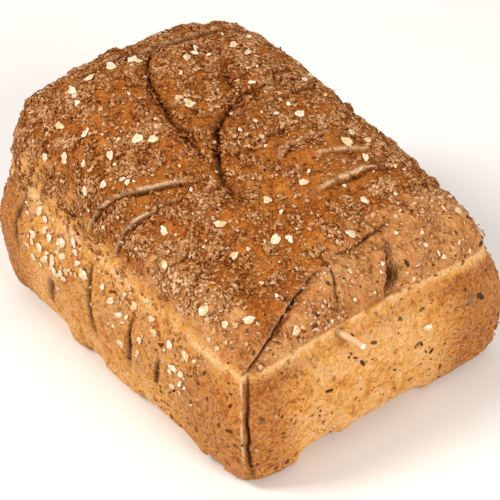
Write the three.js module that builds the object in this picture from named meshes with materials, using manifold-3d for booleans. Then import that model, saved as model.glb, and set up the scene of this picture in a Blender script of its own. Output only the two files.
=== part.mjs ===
// A rectangular wholegrain country loaf with a wooden pick pushed into one end.
// Millimetres, +Z up. The long axis runs along X and the flat underside rests on z = 0.
// The dome is taller towards -X. The pick stands out of the +X end wall.
import * as THREE from 'three';
import { mergeVertices } from 'three/addons/utils/BufferGeometryUtils.js';
import Module from 'manifold-3d';

// ---------------------------------------------------------------- driving dimensions

// Plan of the rim, where the walls meet the domed top crust.
const RIM_LENGTH = 200;
const RIM_WIDTH = 152;
const RIM_TAPER = 0.027; // share by which the +X end is wider than the middle
const CORNER_POWER = 11.9; // superellipse power of the plan: higher is squarer

// Height of the rim.
const RIM_HEIGHT = 72;
const RIM_FALL_ALONG = 0.1; // share by which the rim falls from the middle to the +X end
const RIM_FALL_ACROSS = 0.015; // the same towards +Y
const RIM_ARCH = 5; // rise of the rim in the middle of the +X end

// Walls: they swell out below the rim and turn in again at the foot.
const WALL_SWELL = 8.6;
const WALL_SWELL_AT = 0.58; // share of the rim height where the swell is widest
const FOOT_SWELL = 4.2;
const FOOT_RADIUS = 9.5;
const UNDERSIDE_INSET = 14; // how far in from the foot the underside touches down
const UNDERSIDE_MIDDLE = [-9, 5]; // where the underside's facets meet
const RIM_BEAD = 1.1; // thin raised bead along the rim
const RIM_BEAD_WIDTH = 3.5;

// Dome: a steep shoulder plus a gentle crown, skewed along and across the loaf.
const DOME_RISE = 49.2;
const DOME_SKEW_ALONG = -0.463;
const DOME_SKEW_ACROSS = 0.049;
const DOME_TWIST = 0.167;
const SHOULDER_SHARE = 0.7;
const SHOULDER_POWER = 9.2;
const CORNER_EASE = 0.33; // share by which the shoulder sinks towards the four corners
const CORNER_EASE_POWER = 4; // higher keeps that closer to the corners

// Low waves over the whole crust: height, wave lengths and phase.
const TOP_WAVES = [
  { height: 0.9, along: 58, across: 47, phase: 0.6 },
  { height: 0.6, along: 29, across: 25, phase: 2.1 },
];
const WALL_WAVES = [
  { height: 0.5, along: 46, across: 60, phase: 1.3 },
  { height: 0.3, along: 21, across: 27, phase: 0.4 },
];

// Lobes that bulge between the cracks of the +X end: middle on the top crust, reach, height.
const LOBES = [
  { along: 101, across: 32, reach: 14, height: 2.2 },
  { along: 96, across: -4, reach: 11, height: 1.4 },
  { along: 100, across: -42, reach: 12, height: 1.2 },
  { along: 104, across: 72, reach: 14, height: 1.2 },
];

// Places on the top crust are measured over its curve from its middle, in millimetres.
const CRUST_HALF_LENGTH = 124;
const CRUST_HALF_WIDTH = 104;

// Slashes and furrows in the top crust. Each runs from one place through a second to a
// third. It lies in a shallow trough, and a lip is raised on the side that lipSide names
// (+1 is the left hand when walking along the slash).
const TROUGH_WIDTH = 5.5;
const LIP_WIDTH = 4.5;
const SLASHES = [
  // The long furrows that cross the dome.
  { from: [-60, 7], via: [-33, -16], to: [8, -19], depth: 3.4, trough: 1.4, lip: 0.8, lipSide: 1 },
  { from: [-11, 21], via: [1, -9], to: [25, -22], depth: 3.6, trough: 1.6, lip: 0.8, lipSide: 1 },
  { from: [-31, 24], via: [-24, 18], to: [-14, 13], depth: 2.4, trough: 1.2, lip: 0.4, lipSide: 1 },
  { from: [-57, 54], via: [-60, 8], to: [-66, -38], depth: 2.4, trough: 0.8, lip: 1.4, lipSide: -1 },
  // Curved slashes that fan down the -Y shoulder.
  { from: [11, -33], via: [-1, -60], to: [-23, -96], depth: 2.8, trough: 1, lip: 1.3, lipSide: -1 },
  { from: [14, -45], via: [8, -70], to: [0, -96], depth: 2.6, trough: 0.9, lip: 1.2, lipSide: -1 },
  { from: [34, -50], via: [38, -68], to: [36, -92], depth: 2, trough: 0.6, lip: 0.7, lipSide: 1 },
  { from: [43, -30], via: [46, -54], to: [58, -84], depth: 2, trough: 0.6, lip: 0.9, lipSide: 1 },
  // Slashes across the middle and the +Y flank.
  { from: [49, 53], via: [43, 29], to: [42, 9], depth: 1.8, trough: 0.4, lip: 1.2, lipSide: -1 },
  { from: [36, 52], via: [30, 32], to: [29, 21], depth: 1.6, trough: 0.4, lip: 0.8, lipSide: -1 },
  { from: [20, 32], via: [19, 18], to: [21, 7], depth: 1.6, trough: 0.4, lip: 0.8, lipSide: -1 },
  { from: [10, 22], via: [10, 8], to: [13, -5], depth: 1.8, trough: 0.5, lip: 0.6, lipSide: -1 },
  { from: [-7, 55], via: [-5, 38], to: [-4, 24], depth: 1.8, trough: 0.5, lip: 1, lipSide: -1 },
  { from: [-22, 58], via: [-20, 43], to: [-18, 31], depth: 1.6, trough: 0.5, lip: 0.8, lipSide: -1 },
  // Cracks at the lower +X end, and the overlapping fold at the corner.
  { from: [71, 28], via: [73, 12], to: [72, -6], depth: 1.8, trough: 0.5, lip: 0.6, lipSide: -1 },
  { from: [82, 20], via: [100, 15], to: [120, 10], depth: 4.4, trough: 1.6, lip: 1.2, lipSide: -1 },
  { from: [98, 17], via: [107, 17], to: [114, 13], depth: 3.4, trough: 1, lip: 0, lipSide: -1 },
  { from: [73, -11], via: [90, -15], to: [110, -24], depth: 2, trough: 0.6, lip: 0.6, lipSide: 1 },
  { from: [76, -18], via: [87, -48], to: [118, -98], depth: 3, trough: 0.8, lip: 1.4, lipSide: -1 },
  // The far side is finished like the near side.
  { from: [-38, 51], via: [-46, 66], to: [-66, 92], depth: 2.2, trough: 0.8, lip: 1, lipSide: -1 },
  { from: [7, 52], via: [4, 70], to: [-7, 92], depth: 2.2, trough: 0.8, lip: 1, lipSide: -1 },
  { from: [63, 49], via: [66, 66], to: [70, 88], depth: 2, trough: 0.6, lip: 0.8, lipSide: 1 },
];

// Upright creases in the walls: where along the wall a crease has its top and its foot,
// and the heights between which it runs. A corner is 1 or -1 half wall away.
const CREASES = [
  { wall: 'left', top: -0.75, foot: -0.73, low: 34, high: 74, depth: 1.6 },
  { wall: 'left', top: -0.16, foot: -0.12, low: 22, high: 66, depth: 3.4 },
  { wall: 'left', top: 0.2, foot: 0.15, low: 23, high: 62, depth: 2 },
  { wall: 'left', top: 0.4, foot: 0.37, low: 27, high: 50, depth: 1.8 },
  { wall: 'left', top: -0.44, foot: -0.52, low: 14, high: 38, depth: 1.6 },
  // The overlapping fold runs down the near corner.
  { wall: 'end', top: -0.99, foot: -0.97, low: 3, high: 68, depth: 3.8 },
  // Hidden walls.
  { wall: 'right', top: 0.58, foot: 0.54, low: 22, high: 60, depth: 2.4 },
  { wall: 'right', top: 0.07, foot: 0.1, low: 18, high: 66, depth: 2.8 },
  { wall: 'right', top: -0.54, foot: -0.58, low: 26, high: 70, depth: 2.2 },
  { wall: 'back', top: 0.3, foot: 0.34, low: 20, high: 68, depth: 2.4 },
  { wall: 'back', top: -0.42, foot: -0.38, low: 26, high: 72, depth: 2 },
];

// The blade that opens slashes and creases.
const GROOVE_LEAST_RADIUS = 1;
const GROOVE_SPREAD = 0.6; // growth of the radius with the groove's depth
const GROOVE_RISE = 0.8; // how far it leaves the crust at both ends
const GROOVE_SIDES = 4;
const GROOVE_STEPS = 5;

// Scallops of the foot: stretches of a wall whose lower edge curls up off the floor.
const SCALLOPS = [
  { wall: 'left', from: -99, to: -38, height: 8 },
  { wall: 'left', from: -34, to: -9, height: 5 },
  { wall: 'left', from: 12, to: 66, height: 3.5 },
  { wall: 'left', from: 69, to: 83, height: 2.5 },
  { wall: 'end', from: -49, to: -22, height: 6 },
  { wall: 'end', from: -26, to: 30, height: 4.5 },
  { wall: 'right', from: -88, to: -30, height: 6 },
  { wall: 'right', from: -8, to: 34, height: 4 },
  { wall: 'right', from: 48, to: 84, height: 6 },
  { wall: 'back', from: -60, to: -8, height: 4 },
  { wall: 'back', from: 12, to: 58, height: 5 },
];

// Wooden pick.
const PICK_DIAMETER = 3.1;
const PICK_SHOWN = 17.3; // length that stands out of the wall
const PICK_SUNK = 12; // length inside the loaf
const PICK_POINT = 5; // length of the sharpened inner tip
const PICK_CHAMFER = 0.3;
const PICK_SIDES = 16;
const PICK_ACROSS = -22.5; // y where it leaves the wall
const PICK_HEIGHT = 67; // z where it leaves the wall
const PICK_TILT = 3.6; // degrees up from level
const PICK_SWING = 2.6; // degrees towards +Y
const GAP = 0.3; // clearance round the pick
const BORE_OVERRUN = 8; // how far the bore's cutter reaches past the wall

// Rolled oat flakes baked onto the crust.
const FLAKE_LENGTH = 5.8;
const FLAKE_WIDTH = 4.4;
const FLAKE_HEIGHT = 0.8; // how far a flake stands proud
const FLAKE_ROOT = 2.2; // how far it reaches into the crust
const FLAKE_SIDES = 6;
const FLAKE_TAPER = 0.78; // the upper face against the lower one
const FLAKE_SIZE_SPREAD = 0.45; // largest against smallest, as a share
const FLAKE_TILT = 12; // degrees a flake may lean off the crust
const FLAKE_CLEARANCE = 5.5; // from the middle of a groove, and from the pick
const FLAKE_SEED = 2027;
// Where flakes lie: a patch of the box that the crust is mapped from, and how many.
const FLAKE_PATCHES = [
  { side: 'top', along: [-0.9, 0.5], across: [-0.84, 0.84], count: 62 },
  { side: 'top', along: [0.5, 0.9], across: [-0.84, 0.84], count: 10 },
  { side: 'left', along: [-0.68, -0.36], height: [0.56, 0.95], count: 13 },
  { side: 'left', along: [-0.36, 0.1], height: [0.62, 0.95], count: 8 },
  { side: 'left', along: [0.1, 0.62], height: [0.5, 0.92], count: 10 },
  { side: 'end', along: [0.3, 0.6], height: [0.5, 0.7], count: 1 },
  { side: 'right', along: [-0.7, 0.6], height: [0.56, 0.94], count: 11 },
  { side: 'back', along: [-0.6, 0.6], height: [0.6, 0.94], count: 5 },
];

// Facets of the crust along, across and up.
const CELLS_ALONG = 34;
const CELLS_ACROSS = 26;
const CELLS_UP = 9;

const SLASH_STEPS = 12; // straight steps that a slash is measured by
const ON_FACE = 1e-6; // tolerance for lying on a face of the unit box
const DEGREE = Math.PI / 180;

// ---------------------------------------------------------------- small helpers

const mix = (a, b, share) => a + (b - a) * share;

const bell = (distance, width) => Math.exp(-((distance / width) ** 2));

function smoothStep(low, high, value) {
  const t = THREE.MathUtils.clamp((value - low) / (high - low), 0, 1);
  return t * t * (3 - 2 * t);
}

// A repeatable stream of numbers from 0 to 1.
function seededDraw(seed) {
  let state = seed >>> 0;
  return () => {
    state = (Math.imul(state, 1664525) + 1013904223) >>> 0;
    return state / 2 ** 32;
  };
}

function waves(list, a, b) {
  const turn = 2 * Math.PI;
  return list.reduce(
    (sum, { height, along, across, phase }) =>
      sum + height * Math.sin((turn * a) / along + phase) * Math.sin((turn * b) / across + 2 * phase),
    0,
  );
}

// ---------------------------------------------------------------- base form

// The point of the unit superellipse that a point of the unit square's edge goes to.
function roundedSquare(p, q) {
  const reach = (Math.abs(p) ** CORNER_POWER + Math.abs(q) ** CORNER_POWER) ** (1 / CORNER_POWER);
  return reach > 0 ? [p / reach, q / reach] : [0, 0];
}

const halfLength = RIM_LENGTH / 2;

const halfWidth = (u) => (RIM_WIDTH / 2) * (1 + RIM_TAPER * u);

function rimHeight(u, v) {
  const arch = RIM_ARCH * (1 - v * v) * Math.max(u, 0) ** 6;
  return RIM_HEIGHT * (1 - RIM_FALL_ALONG * u - RIM_FALL_ACROSS * v) + arch;
}

// How far a wall stands out from the rim at a share t of its height.
function wallOffset(t, height) {
  const above = t > WALL_SWELL_AT;
  const share = above ? (1 - t) / (1 - WALL_SWELL_AT) : t / WALL_SWELL_AT;
  const ease = Math.sin((Math.PI / 2) * share);
  const swell = above ? WALL_SWELL * ease : mix(FOOT_SWELL, WALL_SWELL, ease);
  const inFoot = THREE.MathUtils.clamp(1 - (t * height) / FOOT_RADIUS, 0, 1);
  const bead = RIM_BEAD * bell((1 - t) * height, RIM_BEAD_WIDTH);
  return swell + bead - FOOT_RADIUS * (1 - Math.sqrt(1 - inFoot ** 2));
}

function wallName(p, q) {
  if (Math.abs(q) > 1 - ON_FACE) return q < 0 ? 'left' : 'right';
  return p > 0 ? 'end' : 'back';
}

// How far the foot of a wall curls up off the floor.
function footLift(p, q) {
  const name = wallName(p, q);
  const place = name === 'left' || name === 'right' ? p * halfLength : q * halfWidth(p);
  return SCALLOPS.filter(({ wall }) => wall === name).reduce((lift, { from, to, height }) => {
    const share = (2 * place - from - to) / (to - from);
    const rise = Math.abs(share) < 1 ? height * (1 - share ** 6) : 0;
    return Math.max(lift, rise);
  }, 0);
}

function wallPoint(p, q, t) {
  const [u, v] = roundedSquare(p, q);
  const lift = footLift(p, q);
  const height = rimHeight(u, v) - lift;
  const offset = wallOffset(t, height);
  return new THREE.Vector3(u * (halfLength + offset), v * (halfWidth(u) + offset), lift + t * height);
}

// The underside: a ring that comes down from the foot, and a flat middle that needs
// no facets of its own, so its points all move to one place.
function undersidePoint(p, q) {
  const c = Math.max(Math.abs(p), Math.abs(q));
  if (c < 1 - 2.5 / CELLS_ACROSS) return new THREE.Vector3(...UNDERSIDE_MIDDLE, 0);
  const edge = wallPoint(p / c, q / c, 0);
  if (c > 1 - ON_FACE) return edge;
  const inset = 1 - UNDERSIDE_INSET / halfWidth(0);
  return new THREE.Vector3(edge.x * inset, edge.y * inset, 0);
}

function domePoint(p, q) {
  const c = Math.max(Math.abs(p), Math.abs(q), ON_FACE);
  const s = Math.sin((Math.PI / 2) * c);
  const [u, v] = roundedSquare(p / c, q / c).map((value) => value * s);
  const rise = DOME_RISE * (1 + DOME_SKEW_ALONG * u + DOME_SKEW_ACROSS * v + DOME_TWIST * u * v);
  const ease = 1 - CORNER_EASE * Math.abs(u * v) ** CORNER_EASE_POWER;
  const shoulder = ease * Math.sqrt(Math.max(0, 1 - s ** SHOULDER_POWER));
  const crown = (1 - u * u) * (1 - v * v);
  const height = rimHeight(u, v) + rise * mix(crown, shoulder, SHOULDER_SHARE);
  const bead = RIM_BEAD * s ** 200;
  return new THREE.Vector3(u * (halfLength + bead), v * (halfWidth(u) + bead), height);
}

// ---------------------------------------------------------------- relief

// Each slash as a row of places on a curve through its three.
const slashRuns = SLASHES.map((slash) => {
  const [from, via, to] = [slash.from, slash.via, slash.to].map(([a, b]) => new THREE.Vector2(a, b));
  const pull = via.clone().multiplyScalar(2).sub(from.clone().add(to).multiplyScalar(0.5));
  return { ...slash, points: new THREE.QuadraticBezierCurve(from, pull, to).getPoints(SLASH_STEPS) };
});

// Signed distance from a place to a slash, and the share of its length passed there.
function measureSlash(points, x, y) {
  let nearest = { distance: Infinity, share: 0 };
  for (let i = 0; i + 1 < points.length; i += 1) {
    const a = points[i];
    const stepX = points[i + 1].x - a.x;
    const stepY = points[i + 1].y - a.y;
    const along = ((x - a.x) * stepX + (y - a.y) * stepY) / (stepX ** 2 + stepY ** 2);
    const t = THREE.MathUtils.clamp(along, 0, 1);
    const offX = x - a.x - stepX * t;
    const offY = y - a.y - stepY * t;
    const side = Math.sign(stepX * offY - stepY * offX) || 1;
    const distance = side * Math.hypot(offX, offY);
    if (Math.abs(distance) < Math.abs(nearest.distance)) {
      nearest = { distance, share: (i + t) / (points.length - 1) };
    }
  }
  return nearest;
}

// Trough and raised lip of all slashes at a place on the top crust.
function slashRelief(x, y) {
  return slashRuns.reduce((sum, { points, trough, lip, lipSide }) => {
    const { distance, share } = measureSlash(points, x, y);
    const fade = Math.sqrt(Math.sin(Math.PI * mix(0.04, 0.96, share)));
    const rise = lip * bell(distance - lipSide * TROUGH_WIDTH, LIP_WIDTH);
    return sum + fade * (rise - trough * bell(distance, TROUGH_WIDTH));
  }, 0);
}

// Bulge of all lobes at a place on the top crust.
function lobeRelief(x, y) {
  return LOBES.reduce((sum, { along, across, reach, height }) => {
    return sum + height * bell(Math.hypot(x - along, y - across), reach);
  }, 0);
}

// The way out of the loaf at a point, seen from a core inside it.
function outward(point) {
  const coreX = point.x * 0.72;
  const coreY = point.y * 0.66;
  const coreZ = RIM_HEIGHT * 0.5;
  return new THREE.Vector3(point.x - coreX, point.y - coreY, (point.z - coreZ) * 0.5).normalize();
}

// The finished crust at a point of the unit box: p along, q across and w up.
function crustPoint(p, q, w) {
  if (w < -1 + ON_FACE) return undersidePoint(p, q);
  if (w > 1 - ON_FACE) {
    const point = domePoint(p, q);
    const c = Math.max(Math.abs(p), Math.abs(q));
    const inside = 1 - smoothStep(0.96, 1, c);
    const place = [p * CRUST_HALF_LENGTH, q * CRUST_HALF_WIDTH];
    const swells = waves(TOP_WAVES, point.x, point.y) + lobeRelief(...place);
    const relief = slashRelief(...place) + swells * inside;
    return point.addScaledVector(outward(point), relief);
  }
  const t = (w + 1) / 2;
  const point = wallPoint(p, q, t);
  const round = Math.abs(q) > 1 - ON_FACE ? point.x : point.y;
  const inside = smoothStep(0, 0.15, t) * (1 - smoothStep(0.85, 1, t));
  const corner = 1 - smoothStep(0.85, 1, Math.min(Math.abs(p), Math.abs(q)));
  const relief = waves(WALL_WAVES, round, point.z) * inside * corner;
  return point.addScaledVector(new THREE.Vector3(point.x, point.y * 1.3, 0).normalize(), relief);
}

// ---------------------------------------------------------------- solids

const wasm = await Module();
wasm.setup();

// A three.js shape as a solid that can be joined and cut.
function toSolid(geometry) {
  const bare = geometry.clone();
  bare.deleteAttribute('normal');
  bare.deleteAttribute('uv');
  const merged = mergeVertices(bare, 1e-4);
  const corners = Array.from({ length: merged.index.count / 3 }, (_, i) =>
    Array.from(merged.index.array.slice(3 * i, 3 * i + 3)),
  );
  const facets = corners.filter(([a, b, c]) => a !== b && b !== c && c !== a);
  return new wasm.Manifold(
    new wasm.Mesh({
      numProp: 3,
      vertProperties: new Float32Array(merged.attributes.position.array),
      triVerts: new Uint32Array(facets.flat()),
    }),
  );
}

function toGeometry(solid) {
  const { vertProperties, triVerts } = solid.getMesh();
  const geometry = new THREE.BufferGeometry();
  geometry.setAttribute('position', new THREE.BufferAttribute(vertProperties, 3));
  geometry.setIndex(new THREE.BufferAttribute(triVerts, 1));
  geometry.computeVertexNormals();
  return geometry;
}

// The crust: a cut-up unit box whose points are moved onto the loaf.
function crustGeometry() {
  const box = new THREE.BoxGeometry(2, 2, 2, CELLS_ALONG, CELLS_ACROSS, CELLS_UP);
  const position = box.attributes.position;
  for (let i = 0; i < position.count; i += 1) {
    const point = crustPoint(position.getX(i), position.getY(i), position.getZ(i));
    position.setXYZ(i, point.x, point.y, point.z);
  }
  return box;
}

// A point of the unit box on a side of the crust, from two shares of that side.
function boxPlace(side, along, other) {
  if (side === 'top') return [along, other, 1];
  const w = 2 * other - 1;
  if (side === 'left') return [along, -1, w];
  if (side === 'right') return [along, 1, w];
  return [side === 'end' ? 1 : -1, along, w];
}

// Place and outward normal of the crust at a point of one of its sides.
function crustFrame(side, along, other) {
  const step = 0.02;
  const at = (a, b) => crustPoint(...boxPlace(side, a, b));
  const place = at(along, other);
  const alongEdge = at(along + step, other).sub(at(along - step, other));
  const otherEdge = at(along, other + step).sub(at(along, other - step));
  const normal = alongEdge.cross(otherEdge).normalize();
  if (normal.dot(outward(place)) < 0) normal.negate();
  return { place, normal };
}

// A groove's blade: a thin tube that follows the crust, depth deep in the middle of its
// run and out of the crust at both ends.
function grooveSolid(frames, depth) {
  const radius = GROOVE_LEAST_RADIUS + GROOVE_SPREAD * depth;
  const points = frames.map(({ place, normal }, i) => {
    const sunk = mix(-GROOVE_RISE, depth, Math.sin((Math.PI * i) / (frames.length - 1)));
    return place.clone().addScaledVector(normal, radius - sunk);
  });
  const corners = Array.from({ length: GROOVE_SIDES }, (_, i) => {
    const angle = (2 * Math.PI * i) / GROOVE_SIDES;
    return new THREE.Vector2(Math.cos(angle), Math.sin(angle)).multiplyScalar(radius);
  });
  const extrudePath = new THREE.CatmullRomCurve3(points);
  const section = new THREE.Shape(corners);
  return toSolid(new THREE.ExtrudeGeometry(section, { extrudePath, steps: GROOVE_STEPS }));
}

function slashFrames({ points }) {
  return points.map(({ x, y }) => crustFrame('top', x / CRUST_HALF_LENGTH, y / CRUST_HALF_WIDTH));
}

function creaseFrames({ wall, top, foot, low, high }) {
  return Array.from({ length: SLASH_STEPS }, (_, i) => {
    const share = i / (SLASH_STEPS - 1);
    return crustFrame(wall, mix(foot, top, share), mix(low, high, share) / RIM_HEIGHT);
  });
}

function flakeGeometry(draw) {
  const size = 1 - FLAKE_SIZE_SPREAD * draw();
  const height = FLAKE_ROOT + FLAKE_HEIGHT;
  const disc = new THREE.CylinderGeometry(FLAKE_TAPER, 1, height, FLAKE_SIDES, 1);
  disc.rotateX(90 * DEGREE);
  disc.rotateZ(draw() * 360 * DEGREE);
  disc.scale((FLAKE_LENGTH / 2) * size, (FLAKE_WIDTH / 2) * size * mix(0.85, 1.1, draw()), 1);
  disc.translate(0, 0, FLAKE_HEIGHT - height / 2);
  disc.rotateZ(draw() * 360 * DEGREE);
  disc.rotateX((draw() - 0.5) * 2 * FLAKE_TILT * DEGREE);
  return disc;
}

// One flake set on the crust, or nothing where it would foul a groove or the pick.
function flakeSolid({ side, along, across, height }, draw, keepClear) {
  const a = mix(...along, draw());
  const b = mix(...(across ?? height), draw());
  const { place, normal } = crustFrame(side, a, b);
  const geometry = flakeGeometry(draw);
  if (keepClear.some((spot) => place.distanceTo(spot) < FLAKE_CLEARANCE)) return null;
  const turn = new THREE.Quaternion().setFromUnitVectors(new THREE.Vector3(0, 0, 1), normal);
  geometry.applyQuaternion(turn);
  geometry.translate(place.x, place.y, place.z);
  return toSolid(geometry);
}

function flakeSolids(keepClear) {
  const draw = seededDraw(FLAKE_SEED);
  const solids = FLAKE_PATCHES.flatMap((patch) =>
    Array.from({ length: patch.count }, () => flakeSolid(patch, draw, keepClear)),
  );
  return solids.filter((solid) => solid !== null);
}

// The pick along +Y, its root on the wall at the origin: the sharp end is below.
function pickGeometry() {
  const r = PICK_DIAMETER / 2;
  const profile = [
    [0, -PICK_SUNK],
    [r * 0.3, -PICK_SUNK],
    [r, -PICK_SUNK + PICK_POINT],
    [r, PICK_SHOWN - PICK_CHAMFER],
    [r - PICK_CHAMFER, PICK_SHOWN],
    [0, PICK_SHOWN],
  ].map(([x, y]) => new THREE.Vector2(x, y));
  return new THREE.LatheGeometry(profile, PICK_SIDES);
}

function boreGeometry() {
  const radius = PICK_DIAMETER / 2 + GAP;
  const length = PICK_SUNK + GAP + BORE_OVERRUN;
  const bore = new THREE.CylinderGeometry(radius, radius, length, PICK_SIDES);
  bore.translate(0, BORE_OVERRUN - length / 2, 0);
  return bore;
}

// ---------------------------------------------------------------- the object

function finish(color, roughness) {
  return new THREE.MeshStandardMaterial({ color, roughness, metalness: 0 });
}

function buildPick() {
  const pick = new THREE.Mesh(pickGeometry(), finish(0xd9b387, 0.6));
  pick.name = 'wooden_pick';
  const reach = RIM_LENGTH / 2 + RIM_BEAD;
  pick.position.set(reach, PICK_ACROSS, PICK_HEIGHT);
  const direction = new THREE.Vector3(1, Math.tan(PICK_SWING * DEGREE), Math.tan(PICK_TILT * DEGREE));
  pick.quaternion.setFromUnitVectors(new THREE.Vector3(0, 1, 0), direction.normalize());
  pick.updateMatrixWorld(true);
  return pick;
}

function buildLoaf(pick) {
  const bore = boreGeometry().applyMatrix4(pick.matrixWorld);
  const runs = [
    ...slashRuns.map((slash) => ({ depth: slash.depth, frames: slashFrames(slash) })),
    ...CREASES.map((crease) => ({ depth: crease.depth, frames: creaseFrames(crease) })),
  ];
  const grooves = runs.map(({ frames, depth }) => grooveSolid(frames, depth));
  const keepClear = [pick.position, ...runs.flatMap(({ frames }) => frames.map(({ place }) => place))];
  const bare = grooves.reduce((solid, groove) => solid.subtract(groove), toSolid(crustGeometry()));
  const dressed = flakeSolids(keepClear).reduce((solid, flake) => solid.add(flake), bare);
  const loaf = new THREE.Mesh(toGeometry(dressed.subtract(toSolid(bore))), finish(0xb8763a, 0.7));
  loaf.name = 'loaf';
  return loaf;
}

const breadLoaf = new THREE.Group();
const woodenPick = buildPick();
breadLoaf.add(buildLoaf(woodenPick), woodenPick);

export default breadLoaf;
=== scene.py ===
"""A rectangular wholegrain country loaf with bran, oat flakes, linseeds and a wooden pick.

The loaf's own frame is +Z up with X along the loaf and the flat underside on z = 0. Sizes
are written in millimetres and turned to metres when a mesh is made.
"""

import logging
import math
from dataclasses import dataclass, field, fields
from enum import Enum

import bmesh
import bpy
import numpy as np
from mathutils import Matrix, Vector


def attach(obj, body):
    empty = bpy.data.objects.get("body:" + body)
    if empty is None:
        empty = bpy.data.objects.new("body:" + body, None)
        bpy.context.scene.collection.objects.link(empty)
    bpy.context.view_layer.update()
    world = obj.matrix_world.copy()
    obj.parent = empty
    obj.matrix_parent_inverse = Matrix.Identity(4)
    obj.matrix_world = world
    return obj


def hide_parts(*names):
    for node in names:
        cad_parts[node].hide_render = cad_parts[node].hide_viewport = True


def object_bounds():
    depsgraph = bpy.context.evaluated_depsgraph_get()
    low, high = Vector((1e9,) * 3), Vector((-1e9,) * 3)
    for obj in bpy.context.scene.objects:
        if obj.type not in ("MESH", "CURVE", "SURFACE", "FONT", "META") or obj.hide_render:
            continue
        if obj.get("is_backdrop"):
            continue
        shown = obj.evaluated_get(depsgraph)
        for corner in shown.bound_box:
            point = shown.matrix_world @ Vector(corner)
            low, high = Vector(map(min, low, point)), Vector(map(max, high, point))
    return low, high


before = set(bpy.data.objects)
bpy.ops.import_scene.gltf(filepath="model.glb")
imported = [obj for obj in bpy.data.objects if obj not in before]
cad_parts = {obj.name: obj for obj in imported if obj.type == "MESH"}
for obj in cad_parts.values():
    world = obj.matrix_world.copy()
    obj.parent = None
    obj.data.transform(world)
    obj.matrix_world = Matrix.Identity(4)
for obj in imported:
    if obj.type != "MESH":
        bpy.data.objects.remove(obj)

LOG = logging.getLogger("country_bread")
MM = 0.001
ON_FACE = 1e-6  # a point of the unit box this near a face lies on it
SOLID_SEED = 2027  # the flakes of the solids are strewn with this seed

Array = np.ndarray
Pair = tuple[float, float]
Place = tuple[float, float, float]
Box = tuple[Vector, Vector]
Socket = bpy.types.NodeSocket


# ------------------------------------------------------------------ small helpers


def mix(a: float, b: float, share: Array | float) -> Array | float:
    """Blend from a at share 0 to b at share 1."""
    return a + (b - a) * share


def bell(distance: Array, width: float) -> Array:
    """Bell curve of height 1 that falls to 1/e at the given width."""
    return np.exp(-((distance / width) ** 2))


def smooth_step(low: float, high: float, value: Array) -> Array:
    """Smooth rise from 0 at low to 1 at high."""
    t = np.clip((value - low) / (high - low), 0, 1)
    return t * t * (3 - 2 * t)


def unit(vectors: Array) -> Array:
    """Rows of vectors, each scaled to length 1."""
    return vectors / np.maximum(np.linalg.norm(vectors, axis=1, keepdims=True), 1e-9)


def linear(colour: str) -> tuple[float, float, float, float]:
    """Turn an sRGB hex colour into linear RGBA.

    Args:
        colour: Colour as "#RRGGBB".

    Returns:
        Linear red, green and blue, and an alpha of 1.
    """
    parts = [int(colour[i : i + 2], 16) / 255 for i in (1, 3, 5)]
    bent = [x / 12.92 if x <= 0.04045 else ((x + 0.055) / 1.055) ** 2.4 for x in parts]
    return (*bent, 1.0)


def feed(tree: bpy.types.NodeTree, node: bpy.types.Node, inputs: dict) -> None:
    """Set or link a node's inputs.

    Args:
        tree: Node tree that holds the node.
        node: The node.
        inputs: For each input's name or number, a value, or an output socket to link.
    """
    for name, value in inputs.items():
        if isinstance(value, Socket):
            tree.links.new(value, node.inputs[name])
        else:
            node.inputs[name].default_value = value


def add_node(
    tree: bpy.types.NodeTree, kind: str, inputs: dict, output: int | str = 0, **settings: object
) -> Socket:
    """Add one shader node with its inputs and settings.

    Args:
        tree: Node tree that receives the node.
        kind: Node type without the "ShaderNode" prefix.
        inputs: Values and links, as for feed().
        output: Name or number of the output that is wanted.
        settings: Attributes by name. "stops" holds a colour ramp's (place, hex colour) pairs.

    Returns:
        The node's wanted output.
    """
    node = tree.nodes.new("ShaderNode" + kind)
    stops = settings.pop("stops", ())
    for name, value in settings.items():
        setattr(node, name, value)
    for _ in stops[2:]:
        node.color_ramp.elements.new(0.5)
    for (place, colour), element in zip(stops, node.color_ramp.elements if stops else ()):
        element.position = place
        element.color = linear(colour)
    feed(tree, node, inputs)
    return node.outputs[output]


def new_material(name: str) -> tuple[bpy.types.Material, bpy.types.NodeTree, Socket]:
    """Start a material.

    Args:
        name: What the real material is.

    Returns:
        The material, its node tree and the piece's own coordinates.
    """
    material = bpy.data.materials.new(name)
    material.use_nodes = True
    tree = material.node_tree
    return material, tree, add_node(tree, "TexCoord", {}, "Object")


def as_mesh(made: bmesh.types.BMesh, name: str) -> bpy.types.Mesh:
    """Turn a finished model into a mesh.

    Args:
        made: The model, which is freed.
        name: The mesh's name.

    Returns:
        The mesh.
    """
    mesh = bpy.data.meshes.new(name)
    made.to_mesh(mesh)
    made.free()
    return mesh


def add_object(data: bpy.types.ID) -> bpy.types.Object:
    """Add an object for a mesh, light or camera.

    Args:
        data: The mesh, light or camera, whose name the object takes.

    Returns:
        The object.
    """
    made = bpy.data.objects.new(data.name, data)
    bpy.context.collection.objects.link(made)
    return made


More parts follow.
